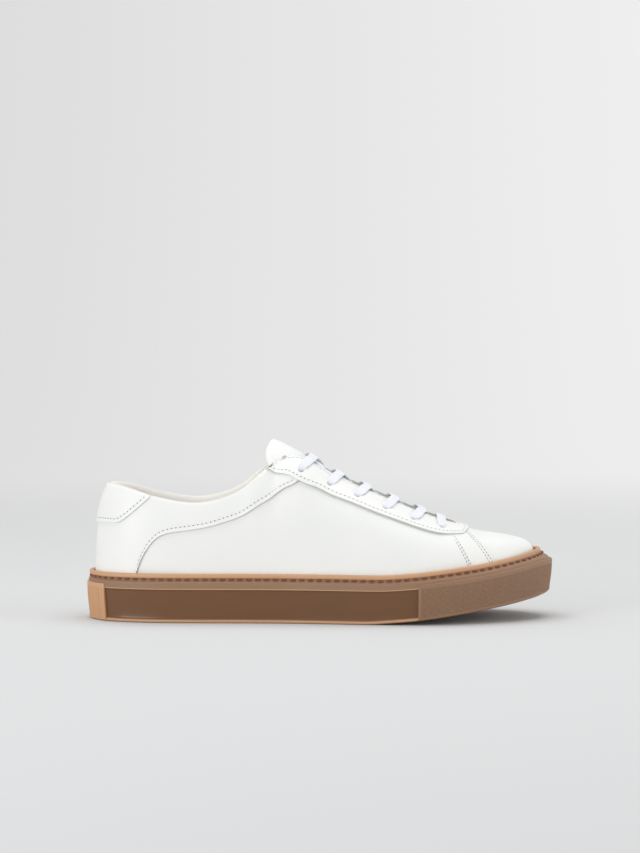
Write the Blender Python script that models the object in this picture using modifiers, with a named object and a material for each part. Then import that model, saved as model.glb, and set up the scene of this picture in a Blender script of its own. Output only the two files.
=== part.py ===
"""Low court shoe for the right foot: a leather upper, lasted and stitched into a rubber cup sole.

Frame: +X points to the toe, +Y to the inner (medial) side of the foot, +Z up. The origin is on the
ground under the middle of the shoe. Every size below is in millimetres.
"""

import math
from typing import NamedTuple

import bmesh
import bpy
import numpy as np
from mathutils import Matrix, Vector

MM = 0.001
GAP = 0.35
STEP = 0.5

LEATHER = 1.2
OVERLAY = 1.3
EYESTAY = 1.5
OVERLAY_LIFT = GAP
STIFFENER_DEPTH = -LEATHER - GAP
LINING_DEPTH = -2.6
LINING = 0.8
COUNTER = 1.4
LAST_MARGIN = 8.0

OUTSOLE = 4.5
RIM_LIP = 2.2
FILLER_DROP = 2.1
BOARD_LIFT = 1.6
BOARD = 2.0
FOOTBED = 4.6
BOARD_INSET = 5.4

TONGUE_HINGE = (83.0, 0.0, 54.0)
TONGUE_LEATHER = 1.1
TONGUE_FOAM = 3.8
TONGUE_CROWN = 10.0

EYELET_RADIUS = 2.3
EYELET_X = (77.0, 58.7, 41.0, 23.2, 5.4, -12.2)
EYELET_SIDE = 22.0

LACE_RADIUS = 1.1
LACE_OVER = 3.6
LACE_UNDER = -5.0
LACE_CROSS = 3.2
LACE_TUCK = -5.4
# Route of each loose end along the side wall's inner face, as (place from the heel, height).
TUCKED_END = ((7.6, 0.72), (7.9, 0.58), (8.6, 0.50), (9.5, 0.48), (10.4, 0.45), (10.75, 0.38), (10.3, 0.31),
              (9.4, 0.30), (8.5, 0.30), (7.6, 0.30), (6.9, 0.30))
AGLET = 20.0
AGLET_RADIUS = 1.3
SEARCH_STEPS = 30

COLLECTION = "court_shoe"
CUTTERS = "court_shoe_cutters"


class Station(NamedTuple):
    """One place along the foot, from the heel (first) to the toe (last)."""

    x: float
    outer: float
    inner: float
    wall: float
    skin: float
    top_x: float
    top_y: float
    top_z: float
    lean: float
    rise: float
    reach: float


# x, outer and inner: the sole's widest outline. wall and skin: how far the cup's inner face and the
# base leather lie inside it. top_*: where that leather's profile ends, which is the topline behind
# the instep and the ridge before it. lean, rise and reach shape the profile between the two.
STATIONS = (
    Station(-150.0, 0.0, 0.0, 3.3, 5.3, -135.6, 0.0, 87.4, 62.0, 0.40, 0.30),
    Station(-143.5, -19.0, 19.0, 3.3, 5.3, -131.6, 13.0, 86.9, 64.0, 0.40, 0.30),
    Station(-128.0, -31.5, 31.5, 3.2, 5.2, -121.5, 22.5, 84.4, 69.0, 0.38, 0.30),
    Station(-104.0, -38.2, 37.6, 3.2, 5.0, -104.0, 28.0, 79.3, 73.0, 0.36, 0.30),
    Station(-78.0, -40.0, 38.3, 4.1, 4.8, -78.0, 30.0, 75.8, 74.0, 0.36, 0.30),
    Station(-54.0, -40.3, 38.2, 4.2, 4.7, -54.0, 30.0, 82.2, 75.0, 0.38, 0.28),
    Station(-36.0, -41.0, 38.4, 4.2, 4.7, -36.0, 26.5, 96.0, 60.0, 0.50, 0.22),
    Station(-18.0, -42.5, 38.8, 4.2, 4.7, -19.0, 0.0, 106.0, 0.0, 0.74, 0.36),
    Station(8.0, -46.5, 41.0, 4.2, 4.7, 8.0, 0.0, 92.8, 0.0, 0.74, 0.44),
    Station(34.0, -51.0, 45.5, 4.2, 4.7, 34.0, 0.0, 80.8, 0.0, 0.76, 0.52),
    Station(60.0, -54.0, 51.2, 4.4, 4.9, 60.0, 0.0, 69.6, 0.0, 0.76, 0.58),
    Station(84.0, -51.5, 54.0, 5.0, 5.5, 82.0, 0.0, 61.4, 0.0, 0.74, 0.60),
    Station(106.0, -43.5, 51.5, 6.1, 6.6, 98.0, 0.6, 56.5, 0.0, 0.74, 0.58),
    Station(126.5, -32.0, 43.0, 7.6, 8.1, 108.0, 1.6, 54.9, 2.0, 0.76, 0.58),
    Station(142.5, -16.5, 28.0, 9.0, 9.5, 114.0, 2.6, 54.0, 5.0, 0.78, 0.58),
    Station(150.0, 5.5, 5.5, 9.5, 10.0, 117.0, 3.2, 53.4, 7.0, 0.80, 0.58),
)
TOE = len(STATIONS) - 1
LOOP = 2 * TOE
# Before this station the leather ends in the topline, and from it on both sides meet on the ridge,
# which never strays further than RIDGE_LIMIT from the middle.
RIDGE_START = 7
RIDGE_LIMIT = 5.0

# Heights along the foot (x, z): the sole's bottom with its toe spring, the cup's rim, and the level
# inside the cup where the leather turns in under the insole board.
GROUND_LINE = ((-150.0, 0.0), (27.0, 0.0), (47.0, 1.3), (66.0, 3.2), (90.0, 6.6), (120.0, 11.2), (150.0, 17.0))
RIM_LINE = ((-150.0, 31.4), (35.0, 31.4), (56.0, 32.6), (78.0, 35.0), (110.0, 39.1), (143.0, 45.3))
SEAT_LINE = ((-150.0, 15.0), (-40.0, 14.0), (30.0, 12.5), (66.0, 15.0), (90.0, 18.2), (120.0, 22.6), (150.0, 27.5))

# Side-view outlines (x, z) of the leather pieces.
COLLAR_EDGE = (
    (-121.0, 14.0),
    (-117.0, 31.6),
    (-110.6, 46.5),
    (-101.5, 55.6),
    (-82.0, 59.2),
    (-57.0, 65.4),
    (-31.6, 79.4),
    (-15.0, 90.2),
)
EYESTAY_EDGE = ((-34.0, 98.4), (-12.6, 90.0), (19.0, 77.4), (50.5, 65.6), (70.0, 58.6), (84.0, 56.4), (94.5, 54.0))
VAMP_SEAM = ((87.4, 110.0), (87.4, 57.4), (98.0, 54.0), (109.0, 39.5), (120.0, 22.0))
SEAM_GAP = 0.45
TAB_CORNERS = ((-108.0, 80.0), (-128.5, 63.0), (-160.0, 63.0))
THROAT = ((-60.0, 24.0), (-34.0, 19.5), (-20.0, 16.5), (34.0, 14.0), (76.0, 11.5))
THROAT_END = 87.5
# The inner layers stop a little outside the throat, and further outside it at the topline's corner.
INNER_THROAT = ((-60.0, 32.0), (-36.0, 27.0), (-20.0, 19.5), (8.0, 16.6), (34.0, 15.0), (76.0, 12.5))

WHITE_LEATHER = ((0.86, 0.86, 0.83), 0.42)
LINING_LEATHER = ((0.76, 0.76, 0.69), 0.55)
LACE_COTTON = ((0.88, 0.89, 0.91), 0.85)
GUM_RUBBER = ((0.33, 0.18, 0.10), 0.45)
THREAD = ((0.11, 0.05, 0.03), 0.7)
FOAM = ((0.80, 0.78, 0.70), 0.95)
BOARD_FIBRE = ((0.58, 0.50, 0.38), 0.9)
STIFF_FILM = ((0.70, 0.70, 0.68), 0.6)
KNIT = ((0.72, 0.72, 0.70), 0.9)


# ---------------------------------------------------------------- shape of the last


def station_table():
    """Rows for one turn of the outline: heel, outer side, toe, inner side."""
    rows = []
    for index in range(LOOP):
        outer_side = index <= TOE
        row = STATIONS[index if outer_side else LOOP - index]
        side = -1.0 if outer_side else 1.0
        width = row.outer if outer_side else row.inner
        on_ridge = row.lean < 10.0 or row.top_y == 0.0
        top_y = row.top_y if on_ridge else side * row.top_y
        rows.append(
            (row.x, width, row.wall, row.skin, row.top_x, top_y, row.top_z, row.lean, row.rise, row.reach)
        )
    return np.array(rows)


TABLE = station_table()


def catmull(p0, p1, p2, p3, f):
    return 0.5 * (
        2.0 * p1 + (p2 - p0) * f + (2.0 * p0 - 5.0 * p1 + 4.0 * p2 - p3) * f * f
        + (3.0 * p1 - p0 - 3.0 * p2 + p3) * f ** 3
    )


def around(c):
    """Station values at place c of the outline, where 0 is the heel and TOE the toe."""
    whole = math.floor(c)
    rows = np.array([TABLE[(whole + k) % LOOP] for k in (-1, 0, 1, 2)])
    if RIDGE_START <= c % LOOP <= LOOP - RIDGE_START:
        off_ridge = np.abs(rows[:, 5]) > RIDGE_LIMIT
        rows[off_ridge, 5] = 0.0
    return catmull(*rows, c - whole)


def along(line, x):
    """Height of a line of (x, z) points at x, eased between its points."""
    points = np.array(line)
    last = len(points) - 1
    if x <= points[0, 0]:
        return points[0, 1]
    if x >= points[last, 0]:
        return points[last, 1]
    i = int(np.searchsorted(points[:, 0], x, side="right")) - 1
    slopes = np.diff(points[:, 1]) / np.diff(points[:, 0])
    m0 = slopes[i] if i == 0 else 0.5 * (slopes[i - 1] + slopes[i])
    m1 = slopes[i] if i == last - 1 else 0.5 * (slopes[i] + slopes[i + 1])
    if slopes[i] == 0.0:
        return points[i, 1]
    if i > 0 and slopes[i - 1] == 0.0:
        m0 = 0.0
    h = points[i + 1, 0] - points[i, 0]
    f = (x - points[i, 0]) / h
    return (
        (2 * f ** 3 - 3 * f ** 2 + 1) * points[i, 1] + (f ** 3 - 2 * f ** 2 + f) * h * m0
        + (3 * f ** 2 - 2 * f ** 3) * points[i + 1, 1] + (f ** 3 - f ** 2) * h * m1
    )


def smooth(points, parts=4):
    """The same open outline with parts straight pieces between each two of its points."""
    p = [np.array(q, dtype=float) for q in points]
    p = [2 * p[0] - p[1]] + p + [2 * p[-1] - p[-2]]
    out = []
    for i in range(1, len(p) - 2):
        out += [tuple(catmull(p[i - 1], p[i], p[i + 1], p[i + 2], k / parts)) for k in range(parts)]
    return out + [tuple(p[-2])]


def outline(c, inset):
    """Point and outward direction of the sole's widest outline, moved in by inset."""
    row = around(c)
    ahead = around(c + 0.01)
    behind = around(c - 0.01)
    tangent = Vector((ahead[0] - behind[0], ahead[1] - behind[1])).normalized()
    out = Vector((tangent.y, -tangent.x))
    return Vector((row[0], row[1])) - out * inset, out


def profile(c, v):
    """Base leather at place c: v from -1 to 0 is the turned-in margin, 0 to 1 the wall upwards."""
    row = around(c)
    foot, out = outline(c, row[3])
    foot += out * (LAST_MARGIN * min(v, 0.0))
    seat = along(SEAT_LINE, foot.x)
    if v <= 0.0:
        return Vector((foot.x, foot.y, seat))
    start = Vector((foot.x, foot.y, seat))
    top = Vector((row[4], row[5], row[6]))
    away = Vector((foot.x - top.x, foot.y - top.y, 0.0)).normalized()
    lean = math.radians(row[7])
    reach = row[9] * (start - top).length
    low = start + Vector((0.0, 0.0, row[8] * (top.z - seat)))
    high = top + (away * math.cos(lean) - Vector((0.0, 0.0, math.sin(lean)))) * reach
    w = 1.0 - v
    return start * w ** 3 + low * (3 * w * w * v) + high * (3 * w * v * v) + top * v ** 3


def normal(c, v):
    """Outward direction of the base leather's wall."""
    v = min(max(v, 0.02), 0.985)
    across = profile(c + 0.02, v) - profile(c - 0.02, v)
    up = profile(c, v + 0.01) - profile(c, v - 0.01)
    return across.cross(up).normalized()


def skin(c, v, depth):
    """A point depth outside the base leather's outer face (inside it where depth is negative)."""
    point = profile(c, v)
    if v < 0.0:
        return point - Vector((0.0, 0.0, depth))
    if v == 0.0:
        _, out = outline(c, 0.0)
        return point + Vector((out.x, out.y, -1.0)) * depth
    n = normal(c, v)
    if v == 1.0 and RIDGE_START <= c <= LOOP - RIDGE_START:
        n = (n + normal(LOOP - c, v)).normalized()
    return point + n * depth


# ---------------------------------------------------------------- object helpers


def clear_scene():
    for obj in list(bpy.data.objects):
        bpy.data.objects.remove(obj, do_unlink=True)


def collection(name):
    found = bpy.data.collections.get(name) or bpy.data.collections.new(name)
    if name not in bpy.context.scene.collection.children:
        bpy.context.scene.collection.children.link(found)
    return found


def material(name, look):
    colour, roughness = look
    found = bpy.data.materials.get(name)
    if found:
        return found
    made = bpy.data.materials.new(name)
    made.use_nodes = True
    shader = made.node_tree.nodes["Principled BSDF"]
    shader.inputs["Base Color"].default_value = (*colour, 1.0)
    shader.inputs["Roughness"].default_value = roughness
    shader.inputs["Metallic"].default_value = 0.0
    made.diffuse_color = (*colour, 1.0)
    return made


def add_mesh(name, points, faces, look=None, material_name="", angle=40.0):
    """A mesh object from points in millimetres, with doubles merged and its material set."""
    bm = bmesh.new()
    verts = [bm.verts.new(Vector(p) * MM) for p in points]
    for face in faces:
        corners = [verts[i] for i in face]
        bm.faces.new(corners)
    bmesh.ops.remove_doubles(bm, verts=bm.verts, dist=0.01 * MM)
    mesh = bpy.data.meshes.new(name)
    bm.to_mesh(mesh)
    bm.free()
    mesh.shade_smooth()
    mesh.set_sharp_from_angle(angle=math.radians(angle))
    obj = bpy.data.objects.new(name, mesh)
    if look is None:
        collection(CUTTERS).objects.link(obj)
        obj.hide_render = True
        obj.display_type = "WIRE"
    else:
        collection(COLLECTION).objects.link(obj)
        mesh.materials.append(material(material_name, look))
    return obj


def steps(first, last, step=STEP):
    """Evenly spaced places from first to last, both included."""
    count = max(1, round((last - first) / step))
    return [first + (last - first) * k / count for k in range(count + 1)]


def sheet_faces(rows, columns):
    """Quads of a grid of columns, each a run of rows, wound so that the sheet faces outwards."""
    faces = []
    for i in range(columns - 1):
        for j in range(rows - 1):
            a = i * rows + j
            faces.append((a, a + rows, a + rows + 1, a + 1))
    return faces


def split_quads(points, quads):
    """Each quad as two triangles along its shorter diagonal, so that both faces of a thin layer bend alike."""
    triangles = []
    for a, b, c, d in quads:
        if (points[a] - points[c]).length <= (points[b] - points[d]).length:
            triangles += [(a, b, c), (a, c, d)]
        else:
            triangles += [(a, b, d), (b, c, d)]
    return triangles


def layer(name, columns, outer, inner, look, material_name, folded=False):
    """One layer of the upper between two depths of the last's skin.

    columns is a grid of (c, v) places. A folded layer's last column runs up to the ridge and back
    down the same line, so its two halves join there.
    """
    rows = len(columns[0])
    count = len(columns)
    points = [skin(c, v, outer) for column in columns for c, v in column]
    points += [skin(c, v, inner) for column in columns for c, v in column]
    total = rows * count
    outside = split_quads(points, sheet_faces(rows, count))
    faces = outside + [tuple(total + k for k in reversed(face)) for face in outside]
    rim = [i * rows for i in range(count)]
    if not folded:
        rim += [(count - 1) * rows + j for j in range(1, rows)]
        rim += [i * rows + rows - 1 for i in range(count - 2, -1, -1)]
        rim += list(range(rows - 2, 0, -1))
    else:
        back = [i * rows + rows - 1 for i in range(count - 2, -1, -1)]
        rim += back + list(range(rows - 2, 0, -1))
    for a, b in zip(rim, [*rim[1:], rim[0]]):
        faces.append((b, a, a + total, b + total))
    return add_mesh(name, points, faces, look, material_name)


def grid(places, rows):
    return [[(c, v) for v in rows] for c in places]


def arch_grid(places, rows):
    """A grid that runs up the outer side, over the ridge and down the inner side."""
    up = [[(c, v) for v in rows] for c in places]
    down = [[(LOOP - c, v) for v in reversed(rows[:-1])] for c in places]
    return [a + b for a, b in zip(up, down)]


def thicken(obj, thickness):
    solid = obj.modifiers.new("thickness", "SOLIDIFY")
    solid.thickness = thickness * MM
    solid.offset = -1.0
    solid.use_even_offset = True


def cut(obj, cutter, operation="DIFFERENCE"):
    boolean = obj.modifiers.new(cutter.name, "BOOLEAN")
    boolean.operation = operation
    boolean.solver = "EXACT"
    boolean.object = cutter


def prism(name, outline_points, low, high, axis="Y"):
    """A cutter: an outline extruded along Y (points are x, z) or along Z (points are x, y)."""
    count = len(outline_points)

    def place(p, level):
        return (p[0], level, p[1]) if axis == "Y" else (p[0], p[1], level)

    points = [place(p, low) for p in outline_points] + [place(p, high) for p in outline_points]
    faces = [tuple(range(count)), tuple(range(2 * count - 1, count - 1, -1))]
    faces += [(i, i + count, (i + 1) % count + count, (i + 1) % count) for i in range(count)]
    obj = add_mesh(name, points, faces)
    bm = bmesh.new()
    bm.from_mesh(obj.data)
    bmesh.ops.recalc_face_normals(bm, faces=bm.faces)
    bm.to_mesh(obj.data)
    bm.free()
    return obj


def stack(name, rings, look, material_name, columns=None):
    """A closed body through rings of the outline; each ring is a function of c giving a point."""
    columns = columns or steps(0.0, LOOP)[:-1]
    count = len(columns)
    points = [ring(c) for ring in rings for c in columns]
    faces = []
    for k in range(len(rings) - 1):
        for i in range(count):
            j = (i + 1) % count
            a = k * count
            faces.append((a + i, a + j, a + count + j, a + count + i))
    for base, up in ((0, False), ((len(rings) - 1) * count, True)):
        for i in range(count // 2):
            j = i + 1
            face = [base + i, base + j, base + (count - j) % count, base + (count - i) % count]
            face = list(dict.fromkeys(face))
            faces.append(tuple(face if up else reversed(face)))
    return add_mesh(name, points, faces, look, material_name)


# ---------------------------------------------------------------- sole


def cup_point(inset_of, height_of):
    """A ring of the cup: inset and height are functions of the station row and the point's x."""

    def ring(c):
        row = around(c)
        spot, _ = outline(c, inset_of(row))
        return (spot.x, spot.y, height_of(spot.x))

    return ring


def lip_inset(row):
    return row[2] - RIM_LIP


def ground(lift=0.0):
    return lambda x: along(GROUND_LINE, x) + lift


def rim(drop=0.0):
    return lambda x: along(RIM_LINE, x) - drop


def wall_height(fraction):
    """Height at a fraction of the way from the ground line to the rim."""
    return lambda x: along(GROUND_LINE, x) * (1.0 - fraction) + along(RIM_LINE, x) * fraction


def build_cupsole():
    rings = (
        cup_point(lambda r: 4.0, ground()),
        cup_point(lambda r: 2.3, ground(1.3)),
        cup_point(lambda r: 2.0, wall_height(0.33)),
        cup_point(lambda r: 0.3, wall_height(0.64)),
        cup_point(lambda r: 0.0, wall_height(0.73)),
        cup_point(lambda r: 0.35 * lip_inset(r) + 0.1, rim(5.0)),
        cup_point(lambda r: 0.5 * lip_inset(r) + 1.0, rim(4.4)),
        cup_point(lambda r: 0.8 * lip_inset(r) + 0.9, rim(2.9)),
        cup_point(lambda r: lip_inset(r), rim(2.3)),
        cup_point(lambda r: lip_inset(r) + 0.5, rim(0.4)),
        cup_point(lambda r: lip_inset(r) + 1.2, rim()),
        cup_point(lambda r: r[2], rim(0.5)),
        cup_point(lambda r: r[2], ground(OUTSOLE)),
    )
    return stack("cupsole", rings, GUM_RUBBER, "gum_rubber")


def build_sole_stitching():
    """The thread of the sidewall seam, one loop lying in the cup's channel."""
    places = steps(0.0, LOOP)[:-1]
    count = len(places)
    section = ((-0.35, 4.05), (-0.35, 3.25), (-1.0, 3.25), (-1.0, 4.05))
    points = []
    for c in places:
        row = around(c)
        for out, drop in section:
            blend = (drop - 2.9) / 1.5
            groove = (0.8 * lip_inset(row) + 0.9) * (1.0 - blend) + (0.5 * lip_inset(row) + 1.0) * blend
            spot, _ = outline(c, groove + out)
            points.append((spot.x, spot.y, along(RIM_LINE, spot.x) - drop))
    faces = []
    for i in range(count):
        for j in range(4):
            a = i * 4
            b = (i + 1) % count * 4
            k = (j + 1) % 4
            faces.append((a + j, b + j, b + k, a + k))
    obj = add_mesh("sole_stitching", points, faces, THREAD, "dark_thread")
    face_outwards(obj)
    return obj


def face_outwards(obj):
    bm = bmesh.new()
    bm.from_mesh(obj.data)
    bmesh.ops.recalc_face_normals(bm, faces=bm.faces)
    bm.to_mesh(obj.data)
    bm.free()


def seat(lift):
    return lambda x: along(SEAT_LINE, x) + lift


def build_sole_inside():
    """Foam core, insole board and footbed, stacked inside the cup."""
    stack(
        "midsole_filler",
        (
            cup_point(lambda r: r[2] + 0.5, ground(OUTSOLE + GAP)),
            cup_point(lambda r: r[2] + 0.5, seat(-FILLER_DROP)),
        ),
        FOAM,
        "core_foam",
    )
    stack(
        "insole_board",
        (
            cup_point(lambda r: r[3] + BOARD_INSET, seat(BOARD_LIFT)),
            cup_point(lambda r: r[3] + BOARD_INSET, seat(BOARD_LIFT + BOARD)),
        ),
        BOARD_FIBRE,
        "insole_fibre",
    )
    low = BOARD_LIFT + BOARD + GAP
    stack(
        "footbed",
        (
            cup_point(lambda r: r[3] + BOARD_INSET + 0.8, seat(low)),
            cup_point(lambda r: r[3] + BOARD_INSET + 0.2, seat(low + 1.0)),
            cup_point(lambda r: r[3] + BOARD_INSET + 0.2, seat(low + FOOTBED + 0.6)),
            cup_point(lambda r: r[3] + BOARD_INSET + 3.0, seat(low + FOOTBED)),
        ),
        KNIT,
        "footbed_cloth",
    )


# ---------------------------------------------------------------- upper


WALL_ROWS = (-1.0, 0.0, 0.16, 0.32, 0.48, 0.64, 0.78, 0.9, 1.0)
TOP_ROWS = WALL_ROWS[4:]
LINING_ROWS = (0.03, *WALL_ROWS[2:])


def far_outline(edge, *corners):
    """A closed side-view outline: a smoothed edge and the far corners that close it."""
    return smooth(edge) + list(corners)


def shifted(points, dx, dz):
    return tuple((x + dx, z + dz) for x, z in points)


def throat_outline(edge):
    """Top view of the throat: both its sides, and the round end over the toes."""
    side = smooth(edge, 2)
    radius = edge[-1][1]
    centre = THROAT_END - radius
    arc = []
    for k in range(1, 8):
        angle = math.pi * k / 8 - math.pi / 2
        arc.append((centre + radius * math.cos(angle), radius * math.sin(angle)))
    return [(x, -y) for x, y in side] + arc + [(x, y) for x, y in reversed(side)]


def punch_cutter():
    """Twelve round punches, one through each lace hole."""
    bm = bmesh.new()
    for side in (-1.0, 1.0):
        for x in EYELET_X:
            spot = on_side(x, EYELET_SIDE, 0.0, side)
            outwards = on_side(x, EYELET_SIDE, 1.0, side) - spot
            turn = outwards.to_track_quat("Z", "Y").to_matrix().to_4x4()
            where = Matrix.Translation(spot * MM) @ turn
            bmesh.ops.create_cone(
                bm,
                cap_ends=True,
                segments=8,
                radius1=EYELET_RADIUS * MM,
                radius2=EYELET_RADIUS * MM,
                depth=12.0 * MM,
                matrix=where,
            )
    mesh = bpy.data.meshes.new("eyelet_punches")
    bm.to_mesh(mesh)
    bm.free()
    obj = bpy.data.objects.new("eyelet_punches", mesh)
    collection(CUTTERS).objects.link(obj)
    obj.hide_render = True
    obj.display_type = "WIRE"
    return obj


def build_cutters():
    far = 90.0
    cutters = {
        "throat": prism("throat_cutter", throat_outline(THROAT), 30.0, 140.0, "Z"),
        "inner_throat": prism("inner_throat_cutter", throat_outline(INNER_THROAT), 30.0, 140.0, "Z"),
        "punches": punch_cutter(),
    }
    for front, back, drop in (("vamp_keep", "quarter_front", 0.0), ("vamp_lining_keep", "lining_front", -4.0)):
        edge = shifted(VAMP_SEAM, 0.0, drop)
        keep = [*edge, (120.0, 0.0), (170.0, 0.0), (170.0, 90.0)]
        cutters[front] = prism(f"{front}_outline", keep, -far, far)
        edge = shifted(VAMP_SEAM, -SEAM_GAP, -0.1 + drop)
        keep = [*edge, (120.0, 0.0), (-170.0, 0.0), (-170.0, 90.0)]
        cutters[back] = prism(f"{back}_outline", keep, -far, far)
    lap = shifted(COLLAR_EDGE, -7.0, 6.0)
    quarter = far_outline(lap, (0.0, 98.0), (0.0, 140.0), (170.0, 140.0), (170.0, 0.0), (-128.0, 0.0))
    cutters["quarter_back"] = prism("quarter_back_outline", quarter, -far, far)
    collar = far_outline(COLLAR_EDGE, (-34.6, 97.8), (-40.0, 101.0), (-40.0, 140.0))
    collar += [(-170.0, 140.0), (-170.0, 0.0), (-121.0, 0.0)]
    cutters["collar"] = prism("collar_outline", collar, -far, far)
    for name, drop in (("eyestay", 0.0), ("eyestay_backing", -2.0)):
        edge = shifted(EYESTAY_EDGE, 0.0, drop)
        stay = far_outline(edge, (96.0, 54.0 + drop), (96.0, 140.0), (-60.0, 140.0), (-60.0, 98.4 + drop))
        cutters[name] = prism(f"{name}_outline", stay, -far, far)
    tab = [(-100.0, 86.6), *TAB_CORNERS, (-160.0, 140.0), (-100.0, 140.0)]
    cutters["tab"] = prism("tab_outline", tab, -far, far)
    grown = [(-99.0, 85.6), *shifted(TAB_CORNERS, 0.4, -0.4), (-160.0, 140.0), (-99.0, 140.0)]
    cutters["tab_seat"] = prism("tab_seat_outline", grown, -far, far)
    cutters["back_slit"] = prism("back_slit_outline", [(-170.0, -6.5), (-90.0, -6.5), (-90.0, 6.5), (-170.0, 6.5)], -1.0, 70.0, "Z")
    return cutters


def sides():
    """Name and first and last place of each side, from the heel forwards."""
    return (("lateral", 0.0, 1.0), ("medial", float(LOOP), -1.0))


def side_places(origin, direction, from_heel):
    """Places of one side in the loop's own order, from their distances to the heel."""
    places = [origin + direction * k for k in from_heel]
    return places if direction > 0 else places[::-1]


def build_vamp(cutters):
    """The toe leather, its lining and the puff that holds the toe's shape between them."""
    columns = arch_grid(steps(11.0, TOE), WALL_ROWS)
    vamp = layer("vamp", columns, 0.0, -LEATHER, WHITE_LEATHER, "white_leather", folded=True)
    cut(vamp, cutters["vamp_keep"], "INTERSECT")
    columns = arch_grid(steps(11.0, TOE), LINING_ROWS)
    lining = layer("vamp_lining", columns, LINING_DEPTH, LINING_DEPTH - LINING, KNIT, "lining_knit", folded=True)
    cut(lining, cutters["vamp_lining_keep"], "INTERSECT")
    columns = grid(steps(TOE - 2.0, TOE + 2.0), LINING_ROWS[:-2])
    layer("toe_puff", columns, STIFFENER_DEPTH, STIFFENER_DEPTH - 0.7, STIFF_FILM, "stiffener")


def build_quarters(cutters):
    """The two side panels of the base leather and their linings."""
    for side, origin, direction in sides():
        columns = grid(side_places(origin, direction, steps(2.0, 12.5)), WALL_ROWS)
        quarter = layer(f"{side}_quarter", columns, 0.0, -LEATHER, WHITE_LEATHER, "white_leather")
        cut(quarter, cutters["quarter_front"], "INTERSECT")
        cut(quarter, cutters["quarter_back"], "INTERSECT")
        cut(quarter, cutters["throat"])
        cut(quarter, cutters["punches"])
        columns = grid(side_places(origin, direction, [5.55, *steps(6.0, 12.5)]), LINING_ROWS)
        depths = (LINING_DEPTH, LINING_DEPTH - LINING)
        lining = layer(f"{side}_quarter_lining", columns, *depths, LINING_LEATHER, "lining_leather")
        cut(lining, cutters["lining_front"], "INTERSECT")
        cut(lining, cutters["inner_throat"])
        cut(lining, cutters["punches"])


def build_collars(cutters):
    """The two collar pieces, which wrap the heel over the quarters."""
    for side, origin, direction in sides():
        columns = grid(side_places(origin, direction, steps(0.0, 8.5)), WALL_ROWS)
        depths = (OVERLAY_LIFT + OVERLAY, OVERLAY_LIFT)
        collar = layer(f"{side}_collar", columns, *depths, WHITE_LEATHER, "white_leather")
        cut(collar, cutters["collar"], "INTERSECT")
        cut(collar, cutters["tab_seat"])
        cut(collar, cutters["back_slit"])


def build_heel(cutters):
    """The tab over the heel's top, the strip down the back seam and the counter inside."""
    columns = grid(steps(-3.5, 3.5), WALL_ROWS[4:])
    depths = (OVERLAY_LIFT + OVERLAY, OVERLAY_LIFT)
    tab = layer("heel_tab", columns, *depths, WHITE_LEATHER, "white_leather")
    cut(tab, cutters["tab"], "INTERSECT")
    columns = grid(steps(-0.5, 0.5), WALL_ROWS[:-2])
    layer("backstay", columns, 0.0, -LEATHER, WHITE_LEATHER, "white_leather")
    columns = grid(steps(-3.0, 3.0), LINING_ROWS[:5])
    layer("heel_counter", columns, STIFFENER_DEPTH, STIFFENER_DEPTH - COUNTER, STIFF_FILM, "stiffener")


def build_eyestay(cutters):
    """The facing that carries the lace holes, and the tape that stiffens it from inside."""
    columns = arch_grid(steps(6.0, 13.5), TOP_ROWS)
    for name, opening, outer, inner, look, finish in (
        ("eyestay", "throat", OVERLAY_LIFT + EYESTAY, OVERLAY_LIFT, WHITE_LEATHER, "white_leather"),
        ("eyestay_backing", "inner_throat", STIFFENER_DEPTH, STIFFENER_DEPTH - 0.6, STIFF_FILM, "stiffener"),
    ):
        obj = layer(name, columns, outer, inner, look, finish)
        cut(obj, cutters[name], "INTERSECT")
        cut(obj, cutters[opening])
        cut(obj, cutters["punches"])


# The padded collar's section as (v, depth) corners: its foam, and its lining from the board up and
# over the foam. Depths beyond PAD_BASE shrink where the padding thins out towards the instep.
FOAM_SECTION = ((0.62, -3.5), (0.74, -3.4), (0.88, -1.7), (0.955, -1.7), (0.965, -5.6), (0.88, -7.2), (0.74, -6.6))
COLLAR_LINING_SECTION = (
    (0.03, -3.5),
    (0.32, -3.5),
    (0.56, -4.2),
    (0.74, -8.2),
    (0.88, -8.9),
    (0.97, -7.4),
    (0.995, -4.4),
    (0.998, -1.7),
)
PAD_BASE = -3.4


def padded(c, depth):
    """Depth of the collar's padding at place c."""
    from_heel = abs(c)
    thin = min(max((from_heel - 4.0) / 1.6, 0.0), 1.0)
    full = 1.0 - 0.55 * thin * thin
    return depth if depth > PAD_BASE else PAD_BASE + (depth - PAD_BASE) * full


def build_collar_inside():
    """The collar's foam and the soft leather that wraps over it and lines the heel."""
    places = steps(-5.0, 5.0)
    count = len(FOAM_SECTION)
    points = [skin(c, v, padded(c, depth)) for c in places for v, depth in FOAM_SECTION]
    faces = []
    for i in range(len(places) - 1):
        for j in range(count):
            a = i * count
            k = (j + 1) % count
            faces.append((a + j, a + k, a + count + k, a + count + j))
    faces.append(tuple(range(count)))
    faces.append(tuple(range(len(points) - 1, len(points) - 1 - count, -1)))
    foam = add_mesh("collar_foam", points, faces, FOAM, "collar_foam")
    face_outwards(foam)
    places = steps(-5.5, 5.5)
    points = [skin(c, v, padded(c, depth)) for c in places for v, depth in COLLAR_LINING_SECTION]
    faces = sheet_faces(len(COLLAR_LINING_SECTION), len(places))
    lining = add_mesh("collar_lining", points, faces, LINING_LEATHER, "lining_leather")
    thicken(lining, LINING)


# ---------------------------------------------------------------- tongue


# The tongue's centre line and shape from its base to its top edge: x, z, half width, and how
# steeply its face falls away to each side.
TONGUE = (
    (84.0, 55.4, 13.0, 0.78),
    (72.0, 61.2, 16.5, 0.80),
    (50.0, 71.0, 19.5, 0.86),
    (26.0, 82.0, 21.0, 0.94),
    (4.0, 93.6, 21.5, 1.04),
    (-14.0, 104.8, 21.0, 1.30),
    (-31.0, 115.2, 19.5, 1.55),
)


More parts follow.
